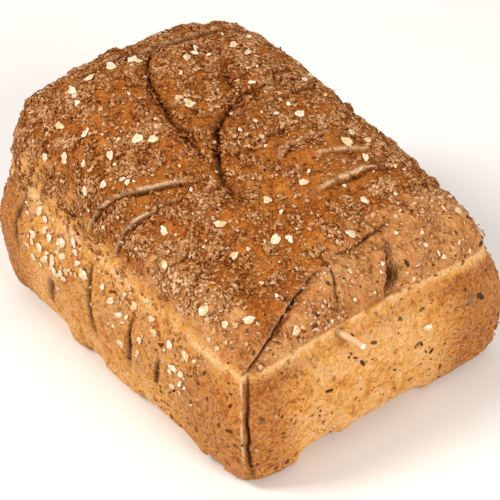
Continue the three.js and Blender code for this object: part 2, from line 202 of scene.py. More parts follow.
@dataclass
class LumpField:
    """Smooth, repeatable lumps in space, from a wrapped lattice of seeded values."""

    seed: int
    cells: int = 32

    def __post_init__(self) -> None:
        """Fill the lattice with values from 0 to 1."""
        self.lattice = np.random.default_rng(self.seed).random((self.cells,) * 3)

    def at(self, points: Array, size: float) -> Array:
        """Read the lumps at points.

        Args:
            points: Places as rows of three coordinates, in millimetres.
            size: Distance between lattice values, in millimetres.

        Returns:
            One value for each point, from -1 to 1.
        """
        place = points / size
        cell = np.floor(place).astype(int)
        share = place - cell
        share = share * share * (3 - 2 * share)
        total = np.zeros(len(points))
        for corner in range(8):
            step = np.array([corner & 1, corner >> 1 & 1, corner >> 2 & 1])
            weight = np.prod(np.where(step, share, 1 - share), axis=1)
            i, j, k = ((cell + step) % self.cells).T
            total += weight * self.lattice[i, j, k]
        return 2 * total - 1


# ------------------------------------------------------------------ form of the loaf


class Side(Enum):
    """The faces of the unit box that the crust is mapped from."""

    TOP = "top"
    LEFT = "left"
    RIGHT = "right"
    END = "end"
    BACK = "back"


@dataclass(frozen=True)
class Slash:
    """A cut in the top crust, through three places measured over its curve in millimetres.

    lip_side is +1 where the raised lip is on the left hand when walking along the cut, gap
    is how wide the cut opens to each side, pale is the share of bare dough on its lip, and
    bare is the share of smooth crust below it.
    """

    start: Pair
    through: Pair
    end: Pair
    depth: float
    trough: float
    lip: float
    lip_side: int
    gap: float
    pale: float
    bare: float = 0.0
    steps: int = 12

    def points(self) -> Array:
        """Places along the cut, as rows.

        Returns:
            The places.
        """
        start, through, end = map(np.array, (self.start, self.through, self.end))
        pull = 2 * through - (start + end) / 2
        t = np.linspace(0, 1, self.steps + 1)[:, None]
        return (1 - t) ** 2 * start + 2 * t * (1 - t) * pull + t**2 * end

    def measure(self, x: Array, y: Array) -> tuple[Array, Array, Array]:
        """Measure places against the cut.

        Args:
            x: Places along the crust.
            y: Places across the crust.

        Returns:
            Distances, above 0 on the left hand, shares of the cut's length, and the offsets
            from the cut as rows.
        """
        line = self.points()
        best = np.full(len(x), np.inf)
        share = np.zeros(len(x))
        offset = np.zeros((len(x), 2))
        sign = np.ones(len(x))
        for i, (a, b) in enumerate(zip(line[:-1], line[1:])):
            step = b - a
            t = np.clip(((x - a[0]) * step[0] + (y - a[1]) * step[1]) / (step @ step), 0, 1)
            off_x = x - a[0] - step[0] * t
            off_y = y - a[1] - step[1] * t
            away = np.hypot(off_x, off_y)
            nearer = away < best
            best = np.where(nearer, away, best)
            share = np.where(nearer, (i + t) / self.steps, share)
            sign = np.where(nearer, np.where(step[0] * off_y < step[1] * off_x, -1, 1), sign)
            offset = np.where(nearer[:, None], np.stack([off_x, off_y], 1), offset)
        return best * sign, share, offset


@dataclass(frozen=True)
class Crease:
    """An upright crease in a wall: shares along the wall of its top and foot, and heights."""

    side: Side
    top: float
    foot: float
    low: float
    high: float
    depth: float


@dataclass(frozen=True)
class Scallop:
    """A stretch of a wall, in millimetres along it, whose foot curls up off the floor."""

    side: Side
    start: float
    end: float
    height: float


@dataclass(frozen=True)
class Lobe:
    """A bulge between the cracks: its middle on the top crust, its reach and height."""

    along: float
    across: float
    reach: float
    height: float


@dataclass(frozen=True)
class Wave:
    """A low wave: its height, and its length and start each way."""

    height: float
    length_a: float
    start_a: float
    length_b: float
    start_b: float

    def at(self, a: Array, b: Array) -> Array:
        """Height of the wave at two measures."""
        ways = ((a, self.length_a, self.start_a), (b, self.length_b, self.start_b))
        return self.height * math.prod(np.sin(2 * math.pi * x / length + start) for x, length, start in ways)


@dataclass(frozen=True)
class Strewing:
    """How many pieces lie on a stretch of a side.

    along and other are millimetres over the top crust. On a wall, along is millimetres and
    other is the share of its height.
    """

    side: Side
    along: Pair
    other: Pair
    count: int


@dataclass(frozen=True)
class Flake:
    """A flake or seed seen on its own: side, place as a Strewing gives it, and its length."""

    side: Side
    along: float
    other: float
    length: float


def seen_on(side: Side, *rows: Place) -> tuple[Flake, ...]:
    """Flakes seen on one side, each given by its place and length."""
    return tuple(Flake(side, *row) for row in rows)


@dataclass
class Marks:
    """What the crust shows at each place, each value from 0 to 1; some marks are painted shade or highlight.
    """

    top: Array
    # painted shade: the dark of the cuts and creases, and round the pick's hole
    shaded_crack: Array
    lip: Array
    band: Array
    # pale band at the rim: paler skin at the shred line, partly painted highlight
    rim: Array
    # painted shade where the skin meets the floor
    under: Array
    end: Array
    # toasted skin, with painted shade round the creases and under the +X rim
    toast_and_shade: Array

    @classmethod
    def blank(cls, count: int) -> "Marks":
        """No marks at all, for a number of places."""
        return cls(*(np.zeros(count) for _ in range(8)))


SLASHES = (
    # The long furrows that cross the dome.
    Slash((-60, 7), (-33, -16), (8, -19), 3.4, 1.6, 0.8, 1, 1.9, 0.0),
    Slash((-11, 21), (1, -9), (25, -22), 3.6, 1.9, 0.8, 1, 2.2, 0.0),
    Slash((-31, 24), (-24, 18), (-14, 13), 2.4, 1.6, 0.4, 1, 2.0, 0.0),
    Slash((-57, 54), (-60, 8), (-66, -38), 2.4, 1.2, 1.5, -1, 1.2, 0.6),
    # Curved slashes that fan down the -Y shoulder.
    Slash((11, -33), (-1, -60), (-23, -96), 2.8, 0.8, 0.9, -1, 0.9, 1.0),
    Slash((14, -45), (8, -70), (0, -96), 2.6, 0.6, 0.9, -1, 0.8, 0.9),
    Slash((34, -50), (38, -68), (36, -92), 2.0, 0.8, 0.8, 1, 0.8, 0.3),
    Slash((43, -30), (46, -54), (58, -84), 2.0, 0.8, 1.0, 1, 0.8, 0.4),
    # Slashes across the middle and the +Y flank.
    Slash((49, 53), (43, 29), (42, 9), 1.8, 0.3, 0.8, -1, 0.8, 1.0, 1.0),
    Slash((36, 52), (30, 32), (29, 21), 1.5, 0.3, 0.5, -1, 0.7, 0.8, 0.7),
    Slash((20, 32), (19, 18), (21, 7), 1.6, 0.4, 0.5, -1, 0.8, 0.8, 0.8),
    Slash((10, 22), (10, 8), (13, -5), 1.8, 0.5, 0.6, -1, 0.8, 0.1),
    Slash((-7, 55), (-5, 38), (-4, 24), 1.8, 0.5, 1.0, -1, 0.8, 0.3),
    Slash((-22, 58), (-20, 43), (-18, 31), 1.6, 0.5, 0.8, -1, 0.8, 0.2),
    # Cracks at the lower +X end, and the overlapping fold at the corner.
    Slash((71, 28), (73, 12), (72, -6), 2.4, 0.9, 0.8, -1, 1.0, 0.1),
    Slash((82, 20), (100, 15), (121, 10), 4.4, 1.6, 1.2, -1, 1.8, 0.1),
    Slash((98, 17), (107, 17), (114, 13), 5.4, 1.6, 0.0, -1, 3.2, 0.0),
    Slash((73, -11), (90, -15), (110, -24), 2.2, 0.8, 0.8, 1, 0.9, 0.1),
    Slash((76, -18), (87, -48), (124, -104), 3.0, 0.8, 1.4, -1, 0.8, 0.3),
    # The far side.
    Slash((-38, 51), (-46, 66), (-66, 92), 2.2, 0.8, 1.0, -1, 0.8, 0.6),
    Slash((7, 52), (4, 70), (-7, 92), 2.2, 0.8, 1.0, -1, 0.8, 0.6),
    Slash((63, 49), (66, 66), (70, 88), 2.0, 0.6, 0.8, 1, 0.7, 0.3),
)

CREASES = (
    Crease(Side.LEFT, -0.75, -0.73, 34, 74, 1.3),
    Crease(Side.LEFT, -0.16, -0.12, 22, 66, 3.4),
    Crease(Side.LEFT, 0.2, 0.15, 23, 62, 2.0),
    Crease(Side.LEFT, 0.4, 0.37, 27, 50, 1.8),
    Crease(Side.LEFT, -0.44, -0.52, 14, 38, 1.6),
    Crease(Side.END, -0.99, -0.985, 3, 76, 3.8),
    Crease(Side.RIGHT, 0.58, 0.54, 22, 60, 2.4),
    Crease(Side.RIGHT, 0.07, 0.1, 18, 66, 2.8),
    Crease(Side.RIGHT, -0.54, -0.58, 26, 70, 2.2),
    Crease(Side.BACK, 0.3, 0.34, 20, 68, 2.4),
    Crease(Side.BACK, -0.42, -0.38, 26, 72, 2.0),
)

LOBES = (
    Lobe(101, 32, 14, 2.2),
    Lobe(96, -4, 11, 1.4),
    Lobe(100, -42, 12, 1.2),
    Lobe(104, 72, 14, 1.2),
)

SCALLOPS = (
    Scallop(Side.LEFT, -99, -38, 8),
    Scallop(Side.LEFT, -34, -9, 5),
    Scallop(Side.LEFT, 12, 66, 3.5),
    Scallop(Side.LEFT, 69, 83, 2.5),
    Scallop(Side.END, -49, -22, 6),
    Scallop(Side.END, -26, 30, 4.5),
    Scallop(Side.RIGHT, -88, -30, 6),
    Scallop(Side.RIGHT, -8, 34, 4),
    Scallop(Side.RIGHT, 48, 84, 6),
    Scallop(Side.BACK, -60, -8, 4),
    Scallop(Side.BACK, 12, 58, 5),
)


@dataclass
class LoafForm:
    """The form of the loaf: a unit box whose points p, q, w are moved onto the crust.

    p runs along the loaf, q across it and w up, each from -1 to 1. On a wall, t runs from 0
    at the foot to 1 at the rim. On top, a and b are millimetres along and across the crust.
    """

    rim_length: float = 200.0
    rim_width: float = 152.0
    rim_taper: float = 0.027
    corner_power: float = 11.9
    rim_height: float = 72.0
    rim_fall_along: float = 0.1
    rim_fall_across: float = 0.015
    rim_arch: float = 5.0
    wall_swell: float = 8.6
    wall_swell_at: float = 0.58
    foot_swell: float = 4.2
    foot_radius: float = 9.5
    rim_bead: float = 1.1
    rim_bead_width: float = 3.5
    dome_rise: float = 49.2
    dome_skew_along: float = -0.463
    dome_skew_across: float = 0.049
    dome_twist: float = 0.167
    shoulder_share: float = 0.7
    shoulder_power: float = 9.2
    corner_ease: float = 0.33
    corner_ease_power: float = 4.0
    crust_half_length: float = 124.0
    crust_half_width: float = 104.0
    skin_drop: float = 0.5  # the skin lies this far under the solid's, to leave room for bran
    pick_root: Place = (101.1, -22.5, 67.0)
    pick_dent: float = 1.2
    pick_dent_width: float = 2.8
    top_waves: tuple[Wave, ...] = (Wave(0.9, 58, 0.6, 47, 1.2), Wave(0.6, 29, 2.1, 25, 4.2))
    wall_waves: tuple[Wave, ...] = (Wave(0.5, 46, 1.3, 60, 2.6), Wave(0.3, 21, 0.4, 27, 0.8))
    # Lumps, as (size, height), and how much of them is left at a rim.
    top_lumps: tuple[Pair, ...] = ((14, 0.5), (6, 0.45), (2.6, 0.4))
    wall_lumps: tuple[Pair, ...] = ((17, 0.5), (7, 0.55), (2.8, 0.5))
    cut_wander: tuple[Pair, ...] = ((8, 1.3), (2.6, 0.9))
    crease_wander: tuple[Pair, ...] = ((9, 1.2), (3, 0.5))
    edge_calm: float = 0.4
    pit_size: float = 2.9
    pit_depth: float = 0.9
    # A cut: how far off it is felt, where its lip and trough lie, and their widths each way.
    cut_reach: Pair = (22.0, 12.0)
    cut_share: float = 0.75
    # depth at which the painted shade of a cut is full
    dark_depth: float = 3.2
    lip_at: float = 0.7
    lip_front: float = 0.6
    lip_back: float = 6.0
    lip_push: float = 0.5
    lip_push_width: float = 1.2
    dip_at: float = 0.9
    dip_front: float = 0.8
    dip_back: float = 6.0
    edge_width: float = 0.46
    bare_edge_width: float = 0.76
    # A crease: its half width, the bulge beside it and the browned skin round it, partly toasting and partly
    # painted shade.
    crease_width: float = 1.1
    crease_share: float = 0.85
    # depth at which the painted shade of a crease is full
    dark_crease: float = 1.6
    crease_toast_and_shade_width: float = 3.4
    bulge: float = 0.9
    bulge_at: float = 3.0
    bulge_width: float = 2.4
    # Bare edges are worn away in places this large, less so on a lip than on the corner fold.
    worn_size: float = 5.0
    worn_shift: float = 60.0
    worn_lip: Pair = (-1.4, -0.2)
    worn_fold: Pair = (-0.8, 0.2)
    # How wide the brown of the top fades out over each rim; on the left, at -X and at +X.
    left_fade: Pair = (35.0, 15.0)
    right_fade: float = 18.0
    end_fade: float = 2.5
    back_fade: float = 16.0
    # Where the toast of the walls starts and is full, in millimetres along them, and a
    # darker line under the rim of the +X wall, partly toasting and partly painted shade.
    broad_toast: float = 40.0
    belt_from: Pair = (-70.0, -30.0)
    corner_from: Pair = (28.0, 78.0)
    back_from: Pair = (-60.0, -86.0)
    near_from: Pair = (-44.0, -68.0)
    far_from: Pair = (22.0, 58.0)
    line_below: float = 8.0
    line_width: float = 5.0
    lumps: LumpField = field(default_factory=lambda: LumpField(11))

    @property
    def half_length(self) -> float:
        """Half the rim's length."""
        return self.rim_length / 2

    def half_of(self, side: Side) -> float:
        """Half the nominal length of a wall's rim."""
        return self.half_length if side in (Side.LEFT, Side.RIGHT) else self.rim_width / 2

    def rounded_square(self, p: Array, q: Array) -> tuple[Array, Array]:
        """Move points of the unit square's edge onto a superellipse."""
        reach = np.maximum(np.linalg.norm([p, q], self.corner_power, axis=0), ON_FACE)
        return p / reach, q / reach

    def half_width(self, u: Array | float) -> Array | float:
        """Half the rim's width at a share u of the half length."""
        return self.rim_width / 2 * (1 + self.rim_taper * u)

    def rim_at(self, u: Array, v: Array) -> Array:
        """Height of the rim at shares u along and v across."""
        arch = self.rim_arch * (1 - v * v) * np.maximum(u, 0) ** 6
        return self.rim_height * (1 - self.rim_fall_along * u - self.rim_fall_across * v) + arch

    def wall_offset(self, t: Array, height: Array) -> Array:
        """How far a wall stands out from the rim at a share t of its height.

        Args:
            t: Shares of the wall's height.
            height: The wall's height at each place.

        Returns:
            The distances.
        """
        at = self.wall_swell_at
        above = t > at
        ease = np.sin(math.pi / 2 * np.where(above, (1 - t) / (1 - at), t / at))
        low = mix(self.foot_swell, self.wall_swell, ease)
        swell = np.where(above, self.wall_swell * ease, low)
        in_foot = np.clip(1 - t * height / self.foot_radius, 0, 1)
        bead = self.rim_bead * bell((1 - t) * height, self.rim_bead_width)
        return swell + bead - self.foot_radius * (1 - np.sqrt(1 - in_foot**2))

    def along_wall(self, p: Array, q: Array) -> dict[Side, tuple[Array, Array]]:
        """Tell which points lie on each wall, and how far along it they are in millimetres.

        Args:
            p: Shares along the loaf.
            q: Shares across the loaf.

        Returns:
            For each wall, which points lie on it, and how far along.
        """
        side_wall = np.abs(q) > 1 - ON_FACE
        along, across = p * self.half_length, q * self.half_width(p)
        return {
            Side.LEFT: (side_wall & (q < 0), along),
            Side.RIGHT: (side_wall & (q > 0), along),
            Side.END: (~side_wall & (p > 0), across),
            Side.BACK: (~side_wall & (p < 0), across),
        }

    def foot_lift(self, p: Array, q: Array) -> Array:
        """How far the foot of a wall curls up off the floor.

        Args:
            p: Shares along the loaf.
            q: Shares across the loaf.

        Returns:
            The heights.
        """
        lift = np.zeros(len(p))
        walls = self.along_wall(p, q)
        for scallop in SCALLOPS:
            on_wall, place = walls[scallop.side]
            share = (2 * place - scallop.start - scallop.end) / (scallop.end - scallop.start)
            rise = np.where(on_wall & (np.abs(share) < 1), scallop.height * (1 - share**6), 0)
            lift = np.maximum(lift, rise)
        return lift

    def wall(self, p: Array, q: Array, t: Array) -> Array:
        """Smooth wall at a share t of its height.

        Args:
            p: Shares along the loaf.
            q: Shares across the loaf.
            t: Shares of the wall's height.

        Returns:
            Points as rows.
        """
        u, v = self.rounded_square(p, q)
        lift = self.foot_lift(p, q)
        height = self.rim_at(u, v) - lift
        out = self.wall_offset(t, height)
        x = u * (self.half_length + out)
        return np.stack([x, v * (self.half_width(u) + out), lift + t * height], 1)

    def dome(self, p: Array, q: Array) -> Array:
        """Smooth dome over the unit square.

        Args:
            p: Shares along the loaf.
            q: Shares across the loaf.

        Returns:
            Points as rows.
        """
        c = np.maximum(np.maximum(np.abs(p), np.abs(q)), ON_FACE)
        s = np.sin(math.pi / 2 * c)
        u, v = (value * s for value in self.rounded_square(p / c, q / c))
        skew = self.dome_skew_along * u + self.dome_skew_across * v + self.dome_twist * u * v
        ease = 1 - self.corner_ease * np.abs(u * v) ** self.corner_ease_power
        shoulder = ease * np.sqrt(np.maximum(0, 1 - s**self.shoulder_power))
        crown = (1 - u * u) * (1 - v * v)
        lift = self.dome_rise * (1 + skew) * mix(crown, shoulder, self.shoulder_share)
        bead = self.rim_bead * s**200
        x = u * (self.half_length + bead)
        return np.stack([x, v * (self.half_width(u) + bead), self.rim_at(u, v) + lift], 1)

    def outward(self, points: Array) -> Array:
        """The way out of the loaf, seen from a core inside it."""
        x, y, z = points.T
        return unit(np.stack([0.28 * x, 0.34 * y, 0.5 * (z - self.rim_height / 2)], 1))

    def lumpy(self, points: Array, sizes: tuple[Pair, ...]) -> Array:
        """Sum lumps of several sizes, given as (size, height) in millimetres."""
        return sum(height * self.lumps.at(points, size) for size, height in sizes)

    def waved(self, waves: tuple[Wave, ...], a: Array, b: Array) -> Array:
        """Sum low waves over two measures, in millimetres."""
        return sum(wave.at(a, b) for wave in waves)

    def cut(
        self, slash: Slash, a: Array, b: Array, wander: Array, worn: Array, marks: Marks
    ) -> tuple[Array, Array]:
        """Cut one slash into the top crust.

        Args:
            slash: The slash.
            a: Millimetres along the crust.
            b: Millimetres across the crust.
            wander: How far the edge strays at each place.
            worn: Share of the lip that is still bare at each place.
            marks: Marks, which the slash adds to.

        Returns:
            How far the crust rises, and how far it shifts along and across, as rows.
        """
        distance, share, offset = slash.measure(a, b)
        away = np.abs(distance)
        e = distance * slash.lip_side + wander * ((1.15 - slash.pale) * smooth_step(9, 0, away))
        fade = np.sin(math.pi * mix(0.04, 0.96, share)) ** 0.4
        near = fade * smooth_step(*self.cut_reach, away)
        from_lip = e - self.lip_at
        rise = slash.lip * bell(from_lip, np.where(from_lip > 0, self.lip_back, self.lip_front))
        from_dip = e + self.dip_at
        dip = slash.trough * bell(from_dip, np.where(from_dip < 0, self.dip_back, self.dip_front))
        shaded_crack = bell(e + 0.3 + 0.4 * slash.gap, slash.gap)
        toward = -slash.lip_side * np.sign(distance)[:, None] * unit(offset)
        push = near * slash.lip * self.lip_push * bell(from_lip, self.lip_push_width)
        # the dark line down the cut is painted shade
        marks.shaded_crack = np.maximum(marks.shaded_crack, near * shaded_crack * min(1, slash.depth / self.dark_depth))
        width = mix(self.edge_width, self.bare_edge_width, slash.bare)
        edge = near * bell(from_lip - 0.6 * slash.bare, width) * slash.pale * worn
        marks.lip = np.maximum(marks.lip, edge)
        above = slash.pale * smooth_step(0.6, 2, e) * smooth_step(9, 5, e)
        below = slash.bare * smooth_step(-0.6, -2, e) * smooth_step(-8, -5, e)
        cleared = slash.pale * bell(e + 0.5, 0.9)
        marks.band = np.maximum(marks.band, near * np.minimum(above + below + cleared, 1))
        return near * (rise - dip - self.cut_share * slash.depth * shaded_crack), toward * push[:, None]

    def top(self, p: Array, q: Array) -> tuple[Array, Marks]:
        """Finish the top crust.

        Args:
            p: Shares along the loaf.
            q: Shares across the loaf.

        Returns:
            Points in millimetres and the marks on them.
        """
        points = self.dome(p, q)
        marks = Marks.blank(len(p))
        inside = 1 - smooth_step(0.96, 1, np.maximum(np.abs(p), np.abs(q)))
        out = self.outward(points)
        a, b = p * self.crust_half_length, q * self.crust_half_width
        relief = self.waved(self.top_waves, points[:, 0], points[:, 1])
        for lobe in LOBES:
            relief += lobe.height * bell(np.hypot(a - lobe.along, b - lobe.across), lobe.reach)
        relief *= inside
        relief += self.lumpy(points, self.top_lumps) * mix(self.edge_calm, 1, inside)
        shift = np.zeros((len(p), 2))
        wander = self.lumpy(points, self.cut_wander)
        worn = smooth_step(*self.worn_lip, self.lumps.at(points + self.worn_shift, self.worn_size))
        for slash in SLASHES:
            rise, push = self.cut(slash, a, b, wander, worn, marks)
            relief += rise
            shift += push
        points = points + out * (relief - self.skin_drop * inside)[:, None]
        points[:, :2] += shift * inside[:, None]
        from_side = (1 - np.abs(q)) * self.crust_half_width
        from_end = (1 - np.abs(p)) * self.crust_half_length
        side_fade = np.where(q < 0, mix(*self.left_fade, smooth_step(-62, 2, a)), self.right_fade)
        end_fade = np.where(p > 0, self.end_fade, self.back_fade)
        marks.top = smooth_step(0, 1, from_side / side_fade) * smooth_step(0, 1, from_end / end_fade)
        # pale band at the rim: paler skin at the shred line, partly painted highlight
        marks.rim = smooth_step(3, 0, np.minimum(from_side, from_end))
        toward_end = a + 0.5 * np.minimum(b + 10, 0) + 7 * self.lumps.at(points + 30, 21)
        near_corner = 0.85 * smooth_step(-50, -74, b) * smooth_step(5, 40, a)
        marks.end = np.maximum(smooth_step(54, 84, toward_end), near_corner)
        return points, marks

    def crease_walls(self, t: Array, points: Array, walls: dict, marks: Marks) -> Array:
        """Press the creases into the walls.

        Args:
            t: Shares of the wall's height.
            points: The same places on the smooth wall.
            walls: For each wall, which places lie on it, and how far along.
            marks: Marks, which the creases add to.

        Returns:
            How far the wall rises.
        """
        relief = np.zeros(len(t))
        wander = self.lumpy(points, self.crease_wander)
        for crease in CREASES:
            on_wall, place = walls[crease.side]
            share = (t * self.rim_height - crease.low) / (crease.high - crease.low)
            e = place - mix(crease.foot, crease.top, share) * self.half_of(crease.side) + wander
            near = on_wall * np.sqrt(np.sin(math.pi * np.clip(share, 0, 1)))
            shaded_crack = bell(e, self.crease_width)
            bulge = self.bulge * bell(e + self.bulge_at, self.bulge_width)
            relief += near * (bulge - self.crease_share * crease.depth * shaded_crack)
            # the dark line down the crease is painted shade
            dark = min(1, crease.depth / self.dark_crease)
            marks.shaded_crack = np.maximum(marks.shaded_crack, near * shaded_crack * dark)
            # browner skin round the crease: partly toasting, partly painted shade
            marks.toast_and_shade = np.maximum(marks.toast_and_shade, 0.9 * near * bell(e, self.crease_toast_and_shade_width))
        return relief

    def bake_walls(self, t: Array, points: Array, finished: Array, walls: dict, marks: Marks) -> None:
        """Mark the toasting of the walls, with a darker line under the +X rim that is partly painted shade.

        Args:
            t: Shares of the wall's height.
            points: The same places on the smooth wall.
            finished: The same places on the finished wall.
            walls: For each wall, which places lie on it, and how far along.
            marks: Marks, which the toast is added to.
        """
        x, y, _ = points.T
        broad = 0.5 + 0.5 * self.lumps.at(finished, self.broad_toast)
        below_rim = smooth_step(0.98, 0.84, t)
        belt = 0.5 * below_rim * smooth_step(0.25, 0.45, t) * smooth_step(*self.belt_from, x)
        corner = 0.85 * smooth_step(*self.corner_from, x) * mix(0.4, 1, below_rim)
        # a darker line under the +X rim: partly toasting, partly painted shade under the rim
        line = 0.5 * bell((1 - t) * self.rim_height - self.line_below, self.line_width)
        near_end = smooth_step(*self.near_from, y) * mix(0.3, 1, below_rim)
        baked = {
            Side.LEFT: np.maximum(belt, corner) + smooth_step(*self.back_from, x),
            Side.END: near_end + smooth_step(*self.far_from, y) * below_rim + line,
            Side.RIGHT: broad,
            Side.BACK: broad,
        }
        for side, share in baked.items():
            marks.toast_and_shade = np.maximum(marks.toast_and_shade, walls[side][0] * share)

    def side(self, p: Array, q: Array, t: Array) -> tuple[Array, Marks]:
        """Finish the walls.

        Args:
            p: Shares along the loaf.
            q: Shares across the loaf.
            t: Shares of the wall's height.

        Returns:
            Points in millimetres and the marks on them.
        """
        points = self.wall(p, q, t)
        marks = Marks.blank(len(p))
        x, y, z = points.T
        along = np.where(np.abs(q) > 1 - ON_FACE, x, y)
        inside = smooth_step(0, 0.15, t) * (1 - smooth_step(0.85, 1, t))
        corner = 1 - smooth_step(0.85, 1, np.minimum(np.abs(p), np.abs(q)))
        relief = self.waved(self.wall_waves, along, z) * inside * corner
        relief += self.lumpy(points, self.wall_lumps) * mix(self.edge_calm, 1, inside)
        pits = smooth_step(0.36, 0.8, self.lumps.at(points + 50, self.pit_size))
        relief -= self.pit_depth * pits * inside
        walls = self.along_wall(p, q)
        relief += self.crease_walls(t, points, walls, marks)
        near_fold = walls[Side.LEFT][0] * smooth_step(0.98, 0.995, p) * smooth_step(0.15, 0.5, t)
        worn = smooth_step(*self.worn_fold, self.lumps.at(points + self.worn_shift, self.worn_size))
        # the pale edge of the corner fold: bare dough, and partly painted highlight on the corner
        marks.lip = 0.85 * near_fold * worn
        away = np.linalg.norm(points - np.array(self.pick_root), axis=1)
        relief -= self.pick_dent * bell(away, self.pick_dent_width)
        # painted shade round the hole that the pick goes into
        marks.shaded_crack = np.maximum(marks.shaded_crack, 0.8 * bell(away, 2.2))
        # pale band under the rim: paler skin at the shred line, partly painted highlight
        marks.rim = smooth_step(0.95, 0.99, t)
        normal = unit(np.stack([x, 1.3 * y, np.zeros(len(x))], 1))
        finished = points + normal * (relief - self.skin_drop * inside)[:, None]
        self.bake_walls(t, points, finished, walls, marks)
        return finished, marks

    def at(self, side: Side, a: Array, b: Array) -> tuple[Array, Marks]:
        """Points and marks at places of one side.

        Args:
            side: Side of the loaf.
            a: Millimetres along the side, over the curve on the top.
            b: Millimetres across the top, or shares of a wall's height.

        Returns:
            Points in millimetres and the marks on them.
        """
        if side is Side.TOP:
            return self.top(a / self.crust_half_length, b / self.crust_half_width)
        full = np.ones(len(a))
        if side in (Side.LEFT, Side.RIGHT):
            return self.side(a / self.half_length, full * (1 if side is Side.RIGHT else -1), b)
        way = 1.0 if side is Side.END else -1.0
        return self.side(full * way, a / self.half_width(way), b)

    def placed(self, side: Side, a: Array, b: Array) -> tuple[Array, Array]:
        """Points and outward normals at places of one side.

        Args:
            side: Side of the loaf.
            a: Places along it, as for at().
            b: Its other measure, as for at().

        Returns:
            Points and normals as rows.
        """
        reach = 1.0
        reach_b = reach if side is Side.TOP else reach / self.rim_height
        points, _ = self.at(side, a, b)
        along = self.at(side, a + reach, b)[0] - self.at(side, a - reach, b)[0]
        across = self.at(side, a, b + reach_b)[0] - self.at(side, a, b - reach_b)[0]
        normals = unit(np.cross(along, across))
        inward = np.sum(normals * self.outward(points), axis=1) < 0
        normals[inward] *= -1
        return points, normals

    def placed_each(self, flakes: tuple[Flake, ...]) -> tuple[Array, Array]:
        """Points and normals of flakes seen on their own, in the order given.

        Args:
            flakes: The flakes.

        Returns:
            Points and normals as rows.
        """
        places, normals = np.zeros((len(flakes), 3)), np.zeros((len(flakes), 3))
        for side in Side:
            rows = [i for i, flake in enumerate(flakes) if flake.side is side]
            if rows:
                a = np.array([flakes[i].along for i in rows], float)
                b = np.array([flakes[i].other for i in rows], float)
                places[rows], normals[rows] = self.placed(side, a, b)
        return places, normals

    def placed_strewn(
        self, strewings: tuple[Strewing, ...], rng: np.random.Generator
    ) -> tuple[Array, Array]:
        """Points and normals of pieces strewn evenly over stretches of the sides.

        Args:
            strewings: The stretches.
            rng: Where the random draws come from.

        Returns:
            Points and normals as rows.
        """
        found = [
            self.placed(s.side, rng.uniform(*s.along, s.count), rng.uniform(*s.other, s.count))
            for s in strewings
        ]
        return np.concatenate([p for p, _ in found]), np.concatenate([n for _, n in found])

    def halves(self) -> dict[Side, Pair]:
        """Tell what a share of 1 is on each side.

        Returns:
            For each side, the millimetres along it, and its other measure.
        """
        return {
            Side.TOP: (self.crust_half_length, self.crust_half_width),
            Side.LEFT: (self.half_length, 1),
            Side.RIGHT: (self.half_length, 1),
            Side.END: (self.half_width(1), 1),
            Side.BACK: (self.half_width(-1), 1),
        }

    def groove_spots(self) -> Array:
        """Places along all cuts and creases, and the pick's root, that flakes keep clear of.

        Returns:
            The places as rows.
        """
        lines = np.concatenate([slash.points() for slash in SLASHES])
        spots = [self.at(Side.TOP, *lines.T)[0], np.array([self.pick_root])]
        share = np.linspace(0, 1, 12)
        halves = self.halves()
        for crease in CREASES:
            place = mix(crease.foot, crease.top, share) * halves[crease.side][0]
            height = mix(crease.low, crease.high, share) / self.rim_height
            spots.append(self.at(crease.side, place, height)[0])
        return np.concatenate(spots)

    def crust(self, p: Array, q: Array, w: Array) -> tuple[Array, Marks]:
        """Finished crust at points of the unit box, above its floor.

        Args:
            p: Shares along the loaf.
            q: Shares across the loaf.
            w: Places up the box.

        Returns:
            Points in millimetres and the marks on them.
        """
        on_top = w > 1 - ON_FACE
        points = np.zeros((len(p), 3))
        marks = Marks.blank(len(p))
        for chosen, made in (
            (on_top, self.top(p[on_top], q[on_top])),
            (~on_top, self.side(p[~on_top], q[~on_top], (w[~on_top] + 1) / 2)),
        ):
            points[chosen] = made[0]
            for name, values in vars(made[1]).items():
                getattr(marks, name)[chosen] = values
        return points, marks


# ------------------------------------------------------------------ finishes


